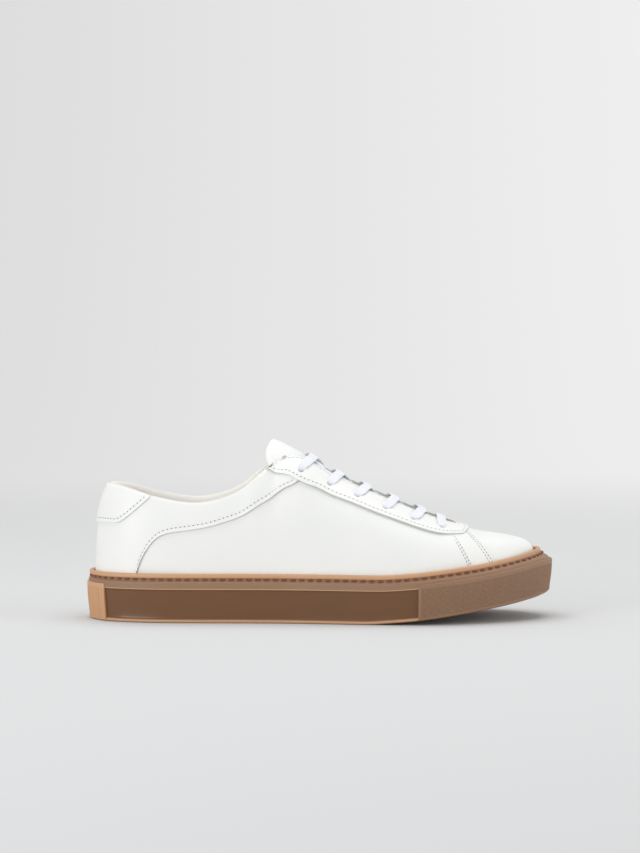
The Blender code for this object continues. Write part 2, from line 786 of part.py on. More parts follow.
def tongue_point(u, w, depth):
    """A point of the tongue: u from its base to its top edge, w across, depth outwards."""
    line = [np.array(row) for row in TONGUE]
    line = [2 * line[0] - line[1], *line, 2 * line[-1] - line[-2]]
    place = u * (len(TONGUE) - 1)
    whole = min(int(place), len(TONGUE) - 2)
    x, z, width, fall = catmull(*line[whole:whole + 4], place - whole)
    ahead = catmull(*line[whole:whole + 4], place - whole + 0.01)
    run = Vector((ahead[0] - x, 0.0, ahead[1] - z)).normalized()
    up = Vector((run.z, 0.0, -run.x))
    y = w * width
    soft = math.hypot(y, TONGUE_CROWN)
    face = (up + Vector((0.0, fall * y / soft, 0.0))).normalized()
    return Vector((x, y, z)) - up * (fall * (soft - TONGUE_CROWN)) + face * depth


def build_tongue():
    hinge = bpy.data.objects.new("tongue_hinge", None)
    hinge.location = Vector(TONGUE_HINGE) * MM
    collection(COLLECTION).objects.link(hinge)
    hinge.empty_display_size = 0.02
    bpy.context.view_layer.update()
    across = [k / 4.0 for k in range(-4, 5)]
    along_u = [k / 9.0 for k in range(10)]
    layers = (
        ("tongue_face", 0.0, TONGUE_LEATHER, WHITE_LEATHER, "white_leather"),
        ("tongue_foam", -TONGUE_LEATHER - 0.3, TONGUE_FOAM, FOAM, "tongue_foam"),
        ("tongue_lining", -TONGUE_LEATHER - TONGUE_FOAM - 0.6, TONGUE_LEATHER, KNIT, "lining_knit"),
    )
    for name, depth, thickness, look, finish in layers:
        trim = 0.94 if name == "tongue_foam" else 1.0
        points = [tongue_point(u, w * trim, depth) for u in along_u for w in across]
        faces = sheet_faces(len(across), len(along_u))
        obj = add_mesh(name, points, [tuple(reversed(f)) for f in faces], look, finish)
        thicken(obj, thickness)
        obj.parent = hinge
        obj.matrix_parent_inverse = hinge.matrix_world.inverted()


# ---------------------------------------------------------------- laces


def on_side(x, y, depth, side):
    """A point depth outside the base leather at x, where the leather is y from the middle."""
    c_low, c_high = 6.0, 12.0
    for _ in range(SEARCH_STEPS):
        c = 0.5 * (c_low + c_high)
        if profile(c, 0.85).x < x:
            c_low = c
        else:
            c_high = c
    c = c if side < 0.0 else LOOP - c
    v_low, v_high = 0.4, 1.0
    for _ in range(SEARCH_STEPS):
        v = 0.5 * (v_low + v_high)
        if abs(profile(c, v).y) > y:
            v_low = v
        else:
            v_high = v
    return skin(c, v, depth)


def tongue_top(x, y):
    """Height of the tongue's face at x and y."""
    rows = tuple(reversed(TONGUE))
    centre = along([(row[0], row[1]) for row in rows], x)
    fall = along([(row[0], row[3]) for row in rows], x)
    return centre - fall * (math.hypot(y, TONGUE_CROWN) - TONGUE_CROWN)


def crossing(row, start):
    """Route from the lace hole of a row on side start to the next row's hole on the other side."""
    x, ahead = EYELET_X[row], EYELET_X[row + 1]
    end = -start
    upper = start > 0.0
    middle = 0.5 * (x + ahead) - 1.0
    return [
        on_side(x, EYELET_SIDE, LACE_UNDER, start),
        on_side(x - 3.5, 14.0, LACE_UNDER - 0.5, start),
        Vector((middle + 4.0, 7.0 * start, tongue_top(middle + 4.0, 7.0) + LACE_RADIUS + 0.5)),
        Vector((middle, 0.0, tongue_top(middle, 0.0) + LACE_RADIUS + (LACE_CROSS if upper else 0.4))),
        on_side(ahead + 4.0, 12.5, LACE_OVER + 0.5, end),
        on_side(ahead + 1.5, EYELET_SIDE - 4.5, LACE_OVER, end),
        on_side(ahead, EYELET_SIDE, LACE_OVER - 0.4, end),
        on_side(ahead, EYELET_SIDE, -1.0, end),
    ]


def lace_strand(start):
    """Half of the lace: from the lowest hole on side start up to its tip inside the shoe."""
    route = [on_side(EYELET_X[0], EYELET_SIDE, LACE_OVER - 0.4, start)]
    route.append(on_side(EYELET_X[0], EYELET_SIDE, -1.0, start))
    side = start
    for row in range(len(EYELET_X) - 1):
        route += crossing(row, side)
        side = -side
    route.append(on_side(EYELET_X[-1], EYELET_SIDE, LACE_UNDER - 0.8, side))
    for c, v in TUCKED_END:
        route.append(skin(c if side < 0.0 else LOOP - c, v, LACE_TUCK))
    return route


def lace_centre():
    """The lace's whole centre line, from the tip on one side to the tip on the other."""
    outer = lace_strand(-1.0)
    inner = lace_strand(1.0)
    x = EYELET_X[0]
    bar = [
        on_side(x, EYELET_SIDE - 4.5, LACE_OVER, -1.0),
        on_side(x, 8.0, LACE_OVER + 0.3, -1.0),
        on_side(x, 8.0, LACE_OVER + 0.3, 1.0),
        on_side(x, EYELET_SIDE - 4.5, LACE_OVER, 1.0),
    ]
    return [*reversed(outer), *bar, *inner]


def tube(name, points, radius, look, material_name):
    """A round bar along points, as a poly curve with closed ends."""
    curve = bpy.data.curves.new(name, "CURVE")
    curve.dimensions = "3D"
    curve.bevel_depth = radius * MM
    curve.bevel_resolution = 2
    curve.use_fill_caps = True
    spline = curve.splines.new("POLY")
    spline.points.add(len(points) - 1)
    for knot, point in zip(spline.points, points):
        knot.co = (point[0] * MM, point[1] * MM, point[2] * MM, 1.0)
    curve.materials.append(material(material_name, look))
    obj = bpy.data.objects.new(name, curve)
    collection(COLLECTION).objects.link(obj)
    return obj


def build_lace():
    """The flat lace, kept as a plain round cord, and the tip on each of its ends."""
    points = lace_centre()
    tube("lace", points, LACE_RADIUS, LACE_COTTON, "lace_cotton")
    for name, end, before in (("lateral_aglet", points[-1], points[-2]), ("medial_aglet", points[0], points[1])):
        away = (end - before).normalized()
        near = end + away * GAP
        tube(name, [near, near + away * AGLET], AGLET_RADIUS, STIFF_FILM, "aglet_plastic")


def main():
    clear_scene()
    cutters = build_cutters()
    build_cupsole()
    build_sole_stitching()
    build_sole_inside()
    build_vamp(cutters)
    build_quarters(cutters)
    build_collars(cutters)
    build_heel(cutters)
    build_eyestay(cutters)
    build_collar_inside()
    build_tongue()
    build_lace()


main()
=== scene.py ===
"""Looks of a low court shoe for the right foot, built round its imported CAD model.

Frame: +X points to the toe, +Y to the inner (medial) side of the foot, +Z up. The origin is on the
ground under the middle of the shoe. Sizes are in millimetres unless a name says otherwise, and
Mesher turns them into metres.
"""

from __future__ import annotations

import logging
import math
from collections.abc import Callable, Sequence
from dataclasses import dataclass, field
from enum import Enum

import bmesh
import bpy
import numpy as np
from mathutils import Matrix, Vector

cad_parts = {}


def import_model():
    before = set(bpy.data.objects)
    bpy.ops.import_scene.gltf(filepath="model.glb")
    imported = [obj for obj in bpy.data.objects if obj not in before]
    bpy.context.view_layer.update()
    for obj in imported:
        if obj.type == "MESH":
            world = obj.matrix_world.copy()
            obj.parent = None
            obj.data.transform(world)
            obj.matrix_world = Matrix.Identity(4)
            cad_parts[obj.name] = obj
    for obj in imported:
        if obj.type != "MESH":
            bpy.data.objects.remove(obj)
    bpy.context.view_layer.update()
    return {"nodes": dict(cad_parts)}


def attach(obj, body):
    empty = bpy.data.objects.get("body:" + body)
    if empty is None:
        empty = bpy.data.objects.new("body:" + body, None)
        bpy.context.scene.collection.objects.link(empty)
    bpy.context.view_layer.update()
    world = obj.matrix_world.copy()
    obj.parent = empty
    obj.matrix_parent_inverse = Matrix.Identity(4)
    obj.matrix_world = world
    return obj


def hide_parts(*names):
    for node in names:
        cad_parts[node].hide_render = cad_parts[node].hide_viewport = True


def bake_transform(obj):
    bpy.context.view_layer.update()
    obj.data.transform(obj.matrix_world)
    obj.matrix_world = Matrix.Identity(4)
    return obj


LOG = logging.getLogger("court_shoe")
MM = 0.001
Array = np.ndarray


class Side(Enum):
    """The two sides of the foot; the value is the sign of Y."""

    LATERAL = -1.0
    MEDIAL = 1.0


class Grain(Enum):
    """What the fine relief of a finish looks like."""

    PORES = "pores"
    WEAVE = "weave"
    LINES = "lines"
    FUZZ = "fuzz"


# ------------------------------------------------------------------ finishes


# A wave texture of scale 1 repeats every 20 / (2 pi) units.
WAVE_PERIOD = math.tau / 20.0


def linear(colour: str) -> tuple[float, float, float, float]:
    """Turns an sRGB hex colour into a linear one.

    Args:
        colour: six hex digits after a #.

    Returns:
        Red, green, blue and alpha.
    """
    parts = [int(colour[i : i + 2], 16) / 255.0 for i in (1, 3, 5)]
    low, high = 12.92, 1.055
    turned = [p / low if p <= 0.04045 else ((p + high - 1.0) / high) ** 2.4 for p in parts]
    return (*turned, 1.0)


def add_node(
    tree: bpy.types.NodeTree, kind: str, settings: dict | None = None, **links: object
) -> bpy.types.Node:
    """Adds a node with its settings, values and links.

    Args:
        tree: the material's node tree.
        kind: the node's type name without its ShaderNode prefix.
        settings: the node's properties.
        links: socket name, with _ for a space, or iN for input N, to an output socket or a value.

    Returns:
        The new node.
    """
    made = tree.nodes.new(f"ShaderNode{kind}")
    for key, value in (settings or {}).items():
        setattr(made, key, value)
    for key, value in links.items():
        numbered = key[0] == "i" and key[1:].isdigit()
        socket = made.inputs[int(key[1:])] if numbered else made.inputs[key.replace("_", " ")]
        if isinstance(value, bpy.types.NodeSocket):
            tree.links.new(value, socket)
        else:
            socket.default_value = value
    return made


@dataclass(frozen=True)
class Finish:
    """One real material: its colours, gloss and fine relief."""

    name: str
    colour: str
    shade: str
    roughness: float
    grain: Grain = Grain.PORES
    grain_size: float = 0.6
    grain_depth: float = 0.03
    patch_size: float = 30.0
    gloss_spread: float = 0.06
    ior: float = 1.5
    sheen: float = 0.0
    coat: float = 0.0
    by_uv: bool = False

    def build(self) -> bpy.types.Material:
        """Makes the material, or returns the one made before.

        Returns:
            The material, named for this finish.
        """
        found = bpy.data.materials.get(self.name)
        if found:
            return found
        made = bpy.data.materials.new(self.name)
        made.use_nodes = True
        tree = made.node_tree
        shader = tree.nodes["Principled BSDF"]
        shader.inputs["IOR"].default_value = self.ior
        shader.inputs["Sheen Weight"].default_value = self.sheen
        shader.inputs["Coat Weight"].default_value = self.coat
        shader.inputs["Coat Roughness"].default_value = 0.25
        where = add_node(tree, "TexCoord").outputs["UV" if self.by_uv else "Object"]
        unit = 1.0 if self.by_uv else 1.0 / MM
        patches = unit / self.patch_size
        broad = add_node(tree, "TexNoise", None, Vector=where, Scale=patches, Detail=3.0).outputs["Fac"]
        mix = add_node(
            tree, "Mix", {"data_type": "RGBA"}, Factor=broad, A=linear(self.colour), B=linear(self.shade)
        )
        tree.links.new(mix.outputs["Result"], shader.inputs["Base Color"])
        gloss = add_node(
            tree,
            "MapRange",
            None,
            Value=broad,
            To_Min=self.roughness - self.gloss_spread,
            To_Max=self.roughness + self.gloss_spread,
        )
        tree.links.new(gloss.outputs["Result"], shader.inputs["Roughness"])
        height = self.relief(tree, where, unit)
        bump = add_node(tree, "Bump", None, Height=height, Strength=0.6, Distance=self.grain_depth * MM)
        tree.links.new(bump.outputs["Normal"], shader.inputs["Normal"])
        return made

    def relief(
        self, tree: bpy.types.NodeTree, where: bpy.types.NodeSocket, unit: float
    ) -> bpy.types.NodeSocket:
        """Adds the nodes of the fine relief.

        Args:
            tree: the material's node tree.
            where: the coordinates.
            unit: how many millimetres one unit of the coordinates is.

        Returns:
            The height's output socket.
        """
        scale = unit / self.grain_size
        if self.grain is Grain.PORES:
            cells = add_node(tree, "TexVoronoi", {"feature": "SMOOTH_F1"}, Vector=where, Scale=scale)
            fine = add_node(tree, "TexNoise", None, Vector=where, Scale=2.0 * scale, Detail=2.0)
            both = add_node(tree, "Math", {"operation": "MULTIPLY_ADD"}, i0=fine.outputs["Fac"], i1=0.5)
            tree.links.new(cells.outputs["Distance"], both.inputs[2])
            return both.outputs[0]
        if self.grain is Grain.FUZZ:
            return add_node(tree, "TexNoise", None, Vector=where, Scale=scale, Detail=4.0).outputs["Fac"]
        bands = scale * WAVE_PERIOD
        one = add_node(tree, "TexWave", {"bands_direction": "X"}, Vector=where, Scale=bands, Distortion=0.4)
        if self.grain is Grain.LINES:
            return one.outputs["Fac"]
        direction = "Y" if self.by_uv else "Z"
        two = add_node(tree, "TexWave", {"bands_direction": direction}, Vector=where, Scale=bands)
        both = add_node(tree, "Math", {"operation": "MULTIPLY"}, i0=one.outputs["Fac"])
        tree.links.new(two.outputs["Fac"], both.inputs[1])
        return both.outputs[0]


# Full-grain calf, corrected and waxed smooth: tight pores that barely show, and a soft satin light.
UPPER_LEATHER = Finish("smooth_calf_leather", "#f1f1ee", "#ebece8", 0.44, grain_size=0.7, grain_depth=0.02)
# The cut edge of that calf, left unpainted: fibrous, and a little greyer than the face, partly as painted
# shade for the dark line under the overlays' lower edges.
CUT_EDGE_AND_SHADE = Finish("cut_calf_edge_and_painted_shade", "#d2d3ce", "#c2c3bd", 0.8, Grain.FUZZ, 0.4, 0.05)
# Soft sheepskin lining: matte, a little warm, with wider grain.
LINING_LEATHER = Finish("sheepskin_lining", "#efece5", "#e6e2d9", 0.62, grain_size=0.9, grain_depth=0.04)
# Moulded gum rubber, polished in the mould on the side panel and matt elsewhere.
GUM_GLOSS = Finish("polished_gum_rubber", "#724c2b", "#694526", 0.3, Grain.FUZZ, 0.8, 0.012, 60.0, 0.04)
GUM_MATT = Finish("matt_gum_rubber", "#96745a", "#8c6b51", 0.55, Grain.FUZZ, 0.5, 0.03, 40.0)
# The bottoms of the toe's texture and of the heel's ribs: darker, since little light reaches them.
GUM_GROOVE = Finish("gum_texture_groove", "#73573f", "#6a4f38", 0.7, Grain.FUZZ, 0.5, 0.03)
GUM_RIM_SHADE = Finish("gum_rib_groove", "#b58a66", "#ab805d", 0.6, Grain.FUZZ, 0.5, 0.03)
# The lighter gum of the rim, the panel's foot and the heel's ribs. Along the thin ridge at the panel's top
# the same colour is a painted highlight.
GUM_RIM_AND_HIGHLIGHT = Finish("trimmed_gum_rim_and_painted_highlight", "#cd9f78", "#c3956e", 0.5, Grain.FUZZ, 0.5, 0.03, 40.0)
# Waxed linen thread of the sidewall seam.
SOLE_THREAD = Finish("waxed_linen_thread", "#874e35", "#743f2b", 0.6, Grain.LINES, 0.35, 0.08, 3.0)
# Bonded polyester thread of the upper's seams.
UPPER_THREAD = Finish("bonded_polyester_thread", "#f2f2ef", "#e6e6e3", 0.5, Grain.LINES, 0.2, 0.04, 3.0)
# A dark disc at each needle hole: painted shade for the hole's depth, from which no light comes back out.
NEEDLE_HOLE_SHADE = Finish("needle_hole_painted_shade", "#565850", "#484a43", 0.9, Grain.FUZZ, 0.4, 0.02)
# Flat tubular cotton lace, woven in fine ribs along its length.
LACE_COTTON = Finish(
    "woven_cotton_lace", "#f0f1f6", "#e5e7ee", 0.85, Grain.WEAVE, 0.55, 0.12, 9.0, sheen=0.25, by_uv=True
)
# Cellulose film crimped hot round each lace end.
AGLET_FILM = Finish("crimped_acetate_film", "#e9ebef", "#dfe2e7", 0.25, Grain.FUZZ, 1.0, 0.01, coat=0.3)
FOOTBED_LEATHER = Finish("footbed_leather", "#e4dfd5", "#d8d2c6", 0.6, grain_size=0.9, grain_depth=0.04)
OPEN_FOAM = Finish("open_cell_foam", "#e6e0cf", "#d9d2bd", 0.95, Grain.FUZZ, 0.7, 0.2)
FIBRE_BOARD = Finish("cellulose_board", "#c7b08a", "#b89f77", 0.9, Grain.FUZZ, 0.5, 0.05)
STIFFENER_FILM = Finish("thermoformed_film", "#d6d5cf", "#cbcac3", 0.6, Grain.FUZZ, 1.0, 0.03)
LINING_KNIT = Finish("knitted_lining", "#dcdad3", "#cfccc4", 0.9, Grain.WEAVE, 0.8, 0.08)

CARRIED_FINISHES = {
    "core_foam": OPEN_FOAM,
    "collar_foam": OPEN_FOAM,
    "tongue_foam": OPEN_FOAM,
    "insole_fibre": FIBRE_BOARD,
    "stiffener": STIFFENER_FILM,
    "lining_knit": LINING_KNIT,
    "lining_leather": LINING_LEATHER,
    "white_leather": UPPER_LEATHER,
    "gum_rubber": GUM_MATT,
    "dark_thread": SOLE_THREAD,
    "footbed_cloth": FOOTBED_LEATHER,
    "lace_cotton": LACE_COTTON,
    "aglet_plastic": AGLET_FILM,
}


# ------------------------------------------------------------------ shape of the last


# x, outer and inner: the sole's widest outline. wall and skin: how far the cup's inner face and the
# base leather lie inside it. Then the end of the leather's profile (x, y, z), and its lean, rise and
# reach.
STATIONS = (
    (-150.0, 0.0, 0.0, 3.3, 5.3, -135.6, 0.0, 87.4, 62.0, 0.40, 0.30),
    (-143.5, -19.0, 19.0, 3.3, 5.3, -131.6, 13.0, 86.9, 64.0, 0.40, 0.30),
    (-128.0, -31.5, 31.5, 3.2, 5.2, -121.5, 22.5, 84.4, 69.0, 0.38, 0.30),
    (-104.0, -38.2, 37.6, 3.2, 5.0, -104.0, 28.0, 79.3, 73.0, 0.36, 0.30),
    (-78.0, -40.0, 38.3, 4.1, 4.8, -78.0, 30.0, 75.8, 74.0, 0.36, 0.30),
    (-54.0, -40.3, 38.2, 4.2, 4.7, -54.0, 30.0, 82.2, 75.0, 0.38, 0.28),
    (-36.0, -41.0, 38.4, 4.2, 4.7, -36.0, 26.5, 96.0, 60.0, 0.50, 0.22),
    (-18.0, -42.5, 38.8, 4.2, 4.7, -19.0, 0.0, 106.0, 0.0, 0.74, 0.36),
    (8.0, -46.5, 41.0, 4.2, 4.7, 8.0, 0.0, 92.8, 0.0, 0.74, 0.44),
    (34.0, -51.0, 45.5, 4.2, 4.7, 34.0, 0.0, 80.8, 0.0, 0.76, 0.52),
    (60.0, -54.0, 51.2, 4.4, 4.9, 60.0, 0.0, 69.6, 0.0, 0.76, 0.58),
    (84.0, -51.5, 54.0, 5.0, 5.5, 82.0, 0.0, 61.4, 0.0, 0.74, 0.60),
    (106.0, -43.5, 51.5, 6.1, 6.6, 98.0, 0.6, 56.5, 0.0, 0.74, 0.58),
    (126.5, -32.0, 43.0, 7.6, 8.1, 108.0, 1.6, 54.9, 2.0, 0.76, 0.58),
    (142.5, -16.5, 28.0, 9.0, 9.5, 114.0, 2.6, 54.0, 5.0, 0.78, 0.58),
    (150.0, 5.5, 5.5, 9.5, 10.0, 117.0, 3.2, 53.4, 7.0, 0.80, 0.58),
)
TOE = len(STATIONS) - 1
LOOP = 2 * TOE
# From this station on, the wall ends on the ridge over the instep instead of at the topline. There, a
# neighbouring station's top that lies further than RIDGE_LIMIT from the middle counts as on the ridge.
RIDGE_START = 7
RIDGE_LIMIT = 5.0
# How far the base leather is drawn in round the heel, under the tab and the collar.
HEEL_TUCK = 0.9
# The wall's directions are taken between these two places up it, and held beyond them.
STEADY_WALL = (0.02, 0.985)
GROUND_LINE = (
    (-150.0, 0.0), (27.0, 0.0), (47.0, 1.3), (66.0, 3.2), (90.0, 6.6), (120.0, 11.2), (150.0, 17.0),
)
RIM_LINE = ((-150.0, 31.4), (35.0, 31.4), (56.0, 32.6), (78.0, 35.0), (110.0, 39.1), (143.0, 45.3))
SEAT_LINE = (
    (-150.0, 15.0),
    (-40.0, 14.0),
    (30.0, 12.5),
    (66.0, 15.0),
    (90.0, 18.2),
    (120.0, 22.6),
    (150.0, 27.5),
)


def eased(line: Sequence[tuple[float, float]], x: Array | float) -> Array:
    """Height of a line of (x, z) points at x, eased between its points.

    Args:
        line: the points, in rising x.
        x: where to read it.

    Returns:
        The heights.
    """
    px, pz = np.array(line).T
    slopes = np.diff(pz) / np.diff(px)
    last = len(px) - 1
    x = np.clip(np.asarray(x, float), px[0], px[-1])
    i = np.clip(np.searchsorted(px, x, side="right") - 1, 0, last - 1)
    before, after = np.maximum(i - 1, 0), np.minimum(i + 1, last - 1)
    m0 = np.where((i > 0) & (slopes[before] == 0.0), 0.0, 0.5 * (slopes[before] + slopes[i]))
    m1 = 0.5 * (slopes[i] + slopes[after])
    h = px[i + 1] - px[i]
    f = (x - px[i]) / h
    value = (2 * f**3 - 3 * f**2 + 1) * pz[i] + (f**3 - 2 * f**2 + f) * h * m0
    value = value + (3 * f**2 - 2 * f**3) * pz[i + 1] + (f**3 - f**2) * h * m1
    return np.where(slopes[i] == 0.0, pz[i], value)


def catmull(p: Array, f: Array) -> Array:
    """A Catmull-Rom spline between the middle two of four points.

    Args:
        p: array (..., 4, k) of points.
        f: fraction (..., 1) of the way.

    Returns:
        The points (..., k).
    """
    a, b, c, d = (p[..., k, :] for k in range(4))
    return 0.5 * (2 * b + (c - a) * f + (2 * a - 5 * b + 4 * c - d) * f**2 + (3 * b - a - 3 * c + d) * f**3)


def spline(points: Sequence[Sequence[float]], t: Array) -> Array:
    """An open Catmull-Rom spline through points.

    Args:
        points: the points to go through.
        t: places, where k is at point k.

    Returns:
        The points at t.
    """
    p = np.array(points, float)
    p = np.vstack([2 * p[0] - p[1], p, 2 * p[-1] - p[-2]])
    i = np.clip(np.floor(t).astype(int), 0, len(p) - 4)
    return catmull(p[i[:, None] + np.arange(4)], (t - i)[:, None])


def unit(v: Array) -> Array:
    """The same vectors with length 1."""
    return v / np.maximum(np.linalg.norm(v, axis=-1, keepdims=True), 1e-12)


def over_instep(c: Array) -> Array:
    """Whether each place's wall ends on the ridge over the instep, and not at the topline."""
    return (c % LOOP >= RIDGE_START) & (c % LOOP <= LOOP - RIDGE_START)


def run_of(line: Array) -> Array:
    """Distance run along a line of points (n, k), from its first point."""
    return np.concatenate([[0.0], np.cumsum(np.linalg.norm(np.diff(line, axis=0), axis=1))])


def ease(x: Array | float, low: float, high: float) -> Array:
    """0 up to low, 1 from high on and a smooth step between."""
    f = np.clip((np.asarray(x, float) - low) / (high - low), 0.0, 1.0)
    return f * f * (3.0 - 2.0 * f)


class Last:
    """The form the upper is pulled over, as places (c, v).

    c runs round the sole's outline, from the heel (0) by the lateral side to the toe (TOE) and back
    by the medial side. v runs up the wall from the sole (0) to the topline or ridge (1).
    """

    def __init__(self) -> None:
        """Lays the stations out for one turn of the outline."""
        rows = []
        for index in range(LOOP):
            outer = index <= TOE
            row = STATIONS[index if outer else LOOP - index]
            on_ridge = row[8] < 10.0 or row[6] == 0.0
            top_y = row[6] * (1.0 if on_ridge else -1.0 if outer else 1.0)
            rows.append((row[0], row[1 if outer else 2], *row[3:6], top_y, *row[7:]))
        self.table = np.array(rows)

    def rows(self, c: Array) -> Array:
        """Station values at places c, as (n, 10)."""
        c = np.asarray(c, float)
        whole = np.floor(c).astype(int)
        p = self.table[(whole[:, None] + np.arange(-1, 3)) % LOOP]
        ridge = over_instep(c)
        top = p[:, :, 5]
        top[ridge[:, None] & (np.abs(top) > RIDGE_LIMIT)] = 0.0
        return catmull(p, (c - whole)[:, None])

    def outline(self, c: Array, inset: Array | float = 0.0) -> tuple[Array, Array]:
        """The sole's widest outline moved in by inset, and its outward direction.

        Args:
            c: places round the outline.
            inset: how far inside.

        Returns:
            Points (n, 2) and directions (n, 2).
        """
        run = unit(self.rows(c + 0.01)[:, :2] - self.rows(c - 0.01)[:, :2])
        out = np.stack([run[:, 1], -run[:, 0]], axis=1)
        return self.rows(c)[:, :2] - out * np.reshape(inset, (-1, 1)), out

    def profile(self, c: Array, v: Array) -> Array:
        """Points of the base leather at places (c, v), as (n, 3)."""
        c, v = (np.asarray(a, float) for a in np.broadcast_arrays(c, v))
        row = self.rows(c)
        foot, _ = self.outline(c, row[:, 3])
        seat = eased(SEAT_LINE, foot[:, 0])
        start = np.column_stack([foot, seat])
        top = row[:, 4:7]
        away = start - top
        away[:, 2] = 0.0
        away = unit(away)
        lean = np.radians(row[:, 7])[:, None]
        up = np.array([[0.0, 0.0, 1.0]])
        reach = row[:, 9:10] * np.linalg.norm(start - top, axis=1, keepdims=True)
        low = start + up * (row[:, 8:9] * (top[:, 2:3] - seat[:, None]))
        high = top + (away * np.cos(lean) - up * np.sin(lean)) * reach
        v = v[:, None]
        w = 1.0 - v
        return start * w**3 + low * (3 * w * w * v) + high * (3 * w * v * v) + top * v**3

    def normal(self, c: Array, v: Array) -> Array:
        """Outward directions of the base leather's wall, as (n, 3)."""
        v = np.clip(v, *STEADY_WALL)
        across = self.profile(c + 0.02, v) - self.profile(c - 0.02, v)
        up = self.profile(c, v + 0.01) - self.profile(c, v - 0.01)
        return unit(np.cross(across, up))

    def skin(self, places: Array, depth: Array | float = 0.0) -> Array:
        """Points depth outside the base leather's outer face.

        Args:
            places: array (..., 2) of (c, v).
            depth: distance outwards, negative inside.

        Returns:
            Points (..., 3).
        """
        shape = places.shape[:-1]
        c, v = places.reshape(-1, 2).T
        n = self.normal(c, v)
        ridge = over_instep(c)
        part = np.where(v > STEADY_WALL[1], 0.5, 0.5 * ease(v, 0.94, 1.0)) * ridge
        n = unit(n * (1.0 - part[:, None]) + self.normal(LOOP - c, v) * part[:, None])
        from_heel = np.minimum(c % LOOP, -c % LOOP)
        tuck = HEEL_TUCK * (1.0 - ease(from_heel, 0.9, 2.3)) * ease(v, 0.06, 0.3)
        depth = np.broadcast_to(depth, shape).reshape(-1, 1) - tuck[:, None]
        return (self.profile(c, v) + n * depth).reshape(*shape, 3)

    def directions(self, places: Array) -> Array:
        """Outward directions at places (..., 2), as (..., 3)."""
        return unit(self.skin(places, 1.0) - self.skin(places, 0.0))

    def _solve(
        self, target: Array, axes: tuple[int, int], c: Array, v: Array, side: Side, depth: Array | float
    ) -> Array:
        """Finds the places whose points have the target's two coordinates.

        Args:
            target: array (n, 2).
            axes: which two coordinates.
            c: first guess round the outline, counted from the heel.
            v: first guess up the wall.
            side: the side to stay on.
            depth: how far outside the base leather the points lie.

        Returns:
            Places (n, 2).
        """
        c = c.astype(float)
        v = v.astype(float)
        sign = 1.0 if side is Side.LATERAL else -1.0
        base = 0.0 if side is Side.LATERAL else float(LOOP)
        step = 0.004
        for _ in range(40):
            miss = target - self.skin(np.column_stack([base + sign * c, v]), depth)[:, axes]
            low, high = np.maximum(v - step, 0.0), np.minimum(v + step, 1.0)
            dv = self.profile(base + sign * c, high) - self.profile(base + sign * c, low)
            dv = dv[:, axes] / (high - low)[:, None]
            dc = self.profile(base + sign * (c + step), v) - self.profile(base + sign * (c - step), v)
            dc = dc[:, axes] / (2 * step)
            det = dc[:, 0] * dv[:, 1] - dc[:, 1] * dv[:, 0]
            det = np.where(np.abs(det) < 1e-6, 1e-6, det)
            move_c = (miss[:, 0] * dv[:, 1] - miss[:, 1] * dv[:, 0]) / det
            move_v = (dc[:, 0] * miss[:, 1] - dc[:, 1] * miss[:, 0]) / det
            c = np.clip(c + np.clip(move_c, -0.6, 0.6), 0.0, TOE)
            v = np.clip(v + np.clip(move_v, -0.12, 0.12), 0.0, 1.0)
        return np.column_stack([base + sign * c, v])

    def at_side(self, points: Sequence[tuple[float, float]], side: Side, depth: Array | float = 0.0) -> Array:
        """Places of side-view points (x, z).

        Args:
            points: the points.
            side: which side of the foot.
            depth: how far outside the base leather the points lie.

        Returns:
            Places (n, 2).
        """
        target = np.array(points, float)
        k = np.arange(TOE + 1.0)
        table = self.table[: TOE + 1]
        middle = 0.5 * (table[:, 0] + table[:, 4])
        c = np.interp(target[:, 0], middle, k)
        low, high = eased(SEAT_LINE, target[:, 0]), np.interp(c, k, table[:, 6])
        v = np.clip((target[:, 1] - low) / (high - low), 0.05, 0.92)
        return self._solve(target, (0, 2), c, v, side, np.broadcast_to(depth, len(target)))

    def at_top(self, points: Sequence[tuple[float, float]], side: Side) -> Array:
        """Places of top-view points (x, distance from the middle) on the instep.

        Args:
            points: the points.
            side: which side of the foot.

        Returns:
            Places (n, 2).
        """
        target = np.array(points, float)
        target[:, 1] *= side.value
        k = np.arange(TOE + 1.0)
        c = np.clip(np.interp(target[:, 0], self.table[: TOE + 1, 4], k), 6.2, TOE)
        v = np.clip(1.0 - np.abs(target[:, 1]) / 60.0, 0.4, 0.98)
        return self._solve(target, (0, 1), c, v, side, 0.0)


LAST = Last()


# ------------------------------------------------------------------ meshes


# Points closer than this are one.
MERGE_DISTANCE = 0.004
SHARP_EDGE = math.radians(50.0)


# ------------------------------------------------------------------ making meshes


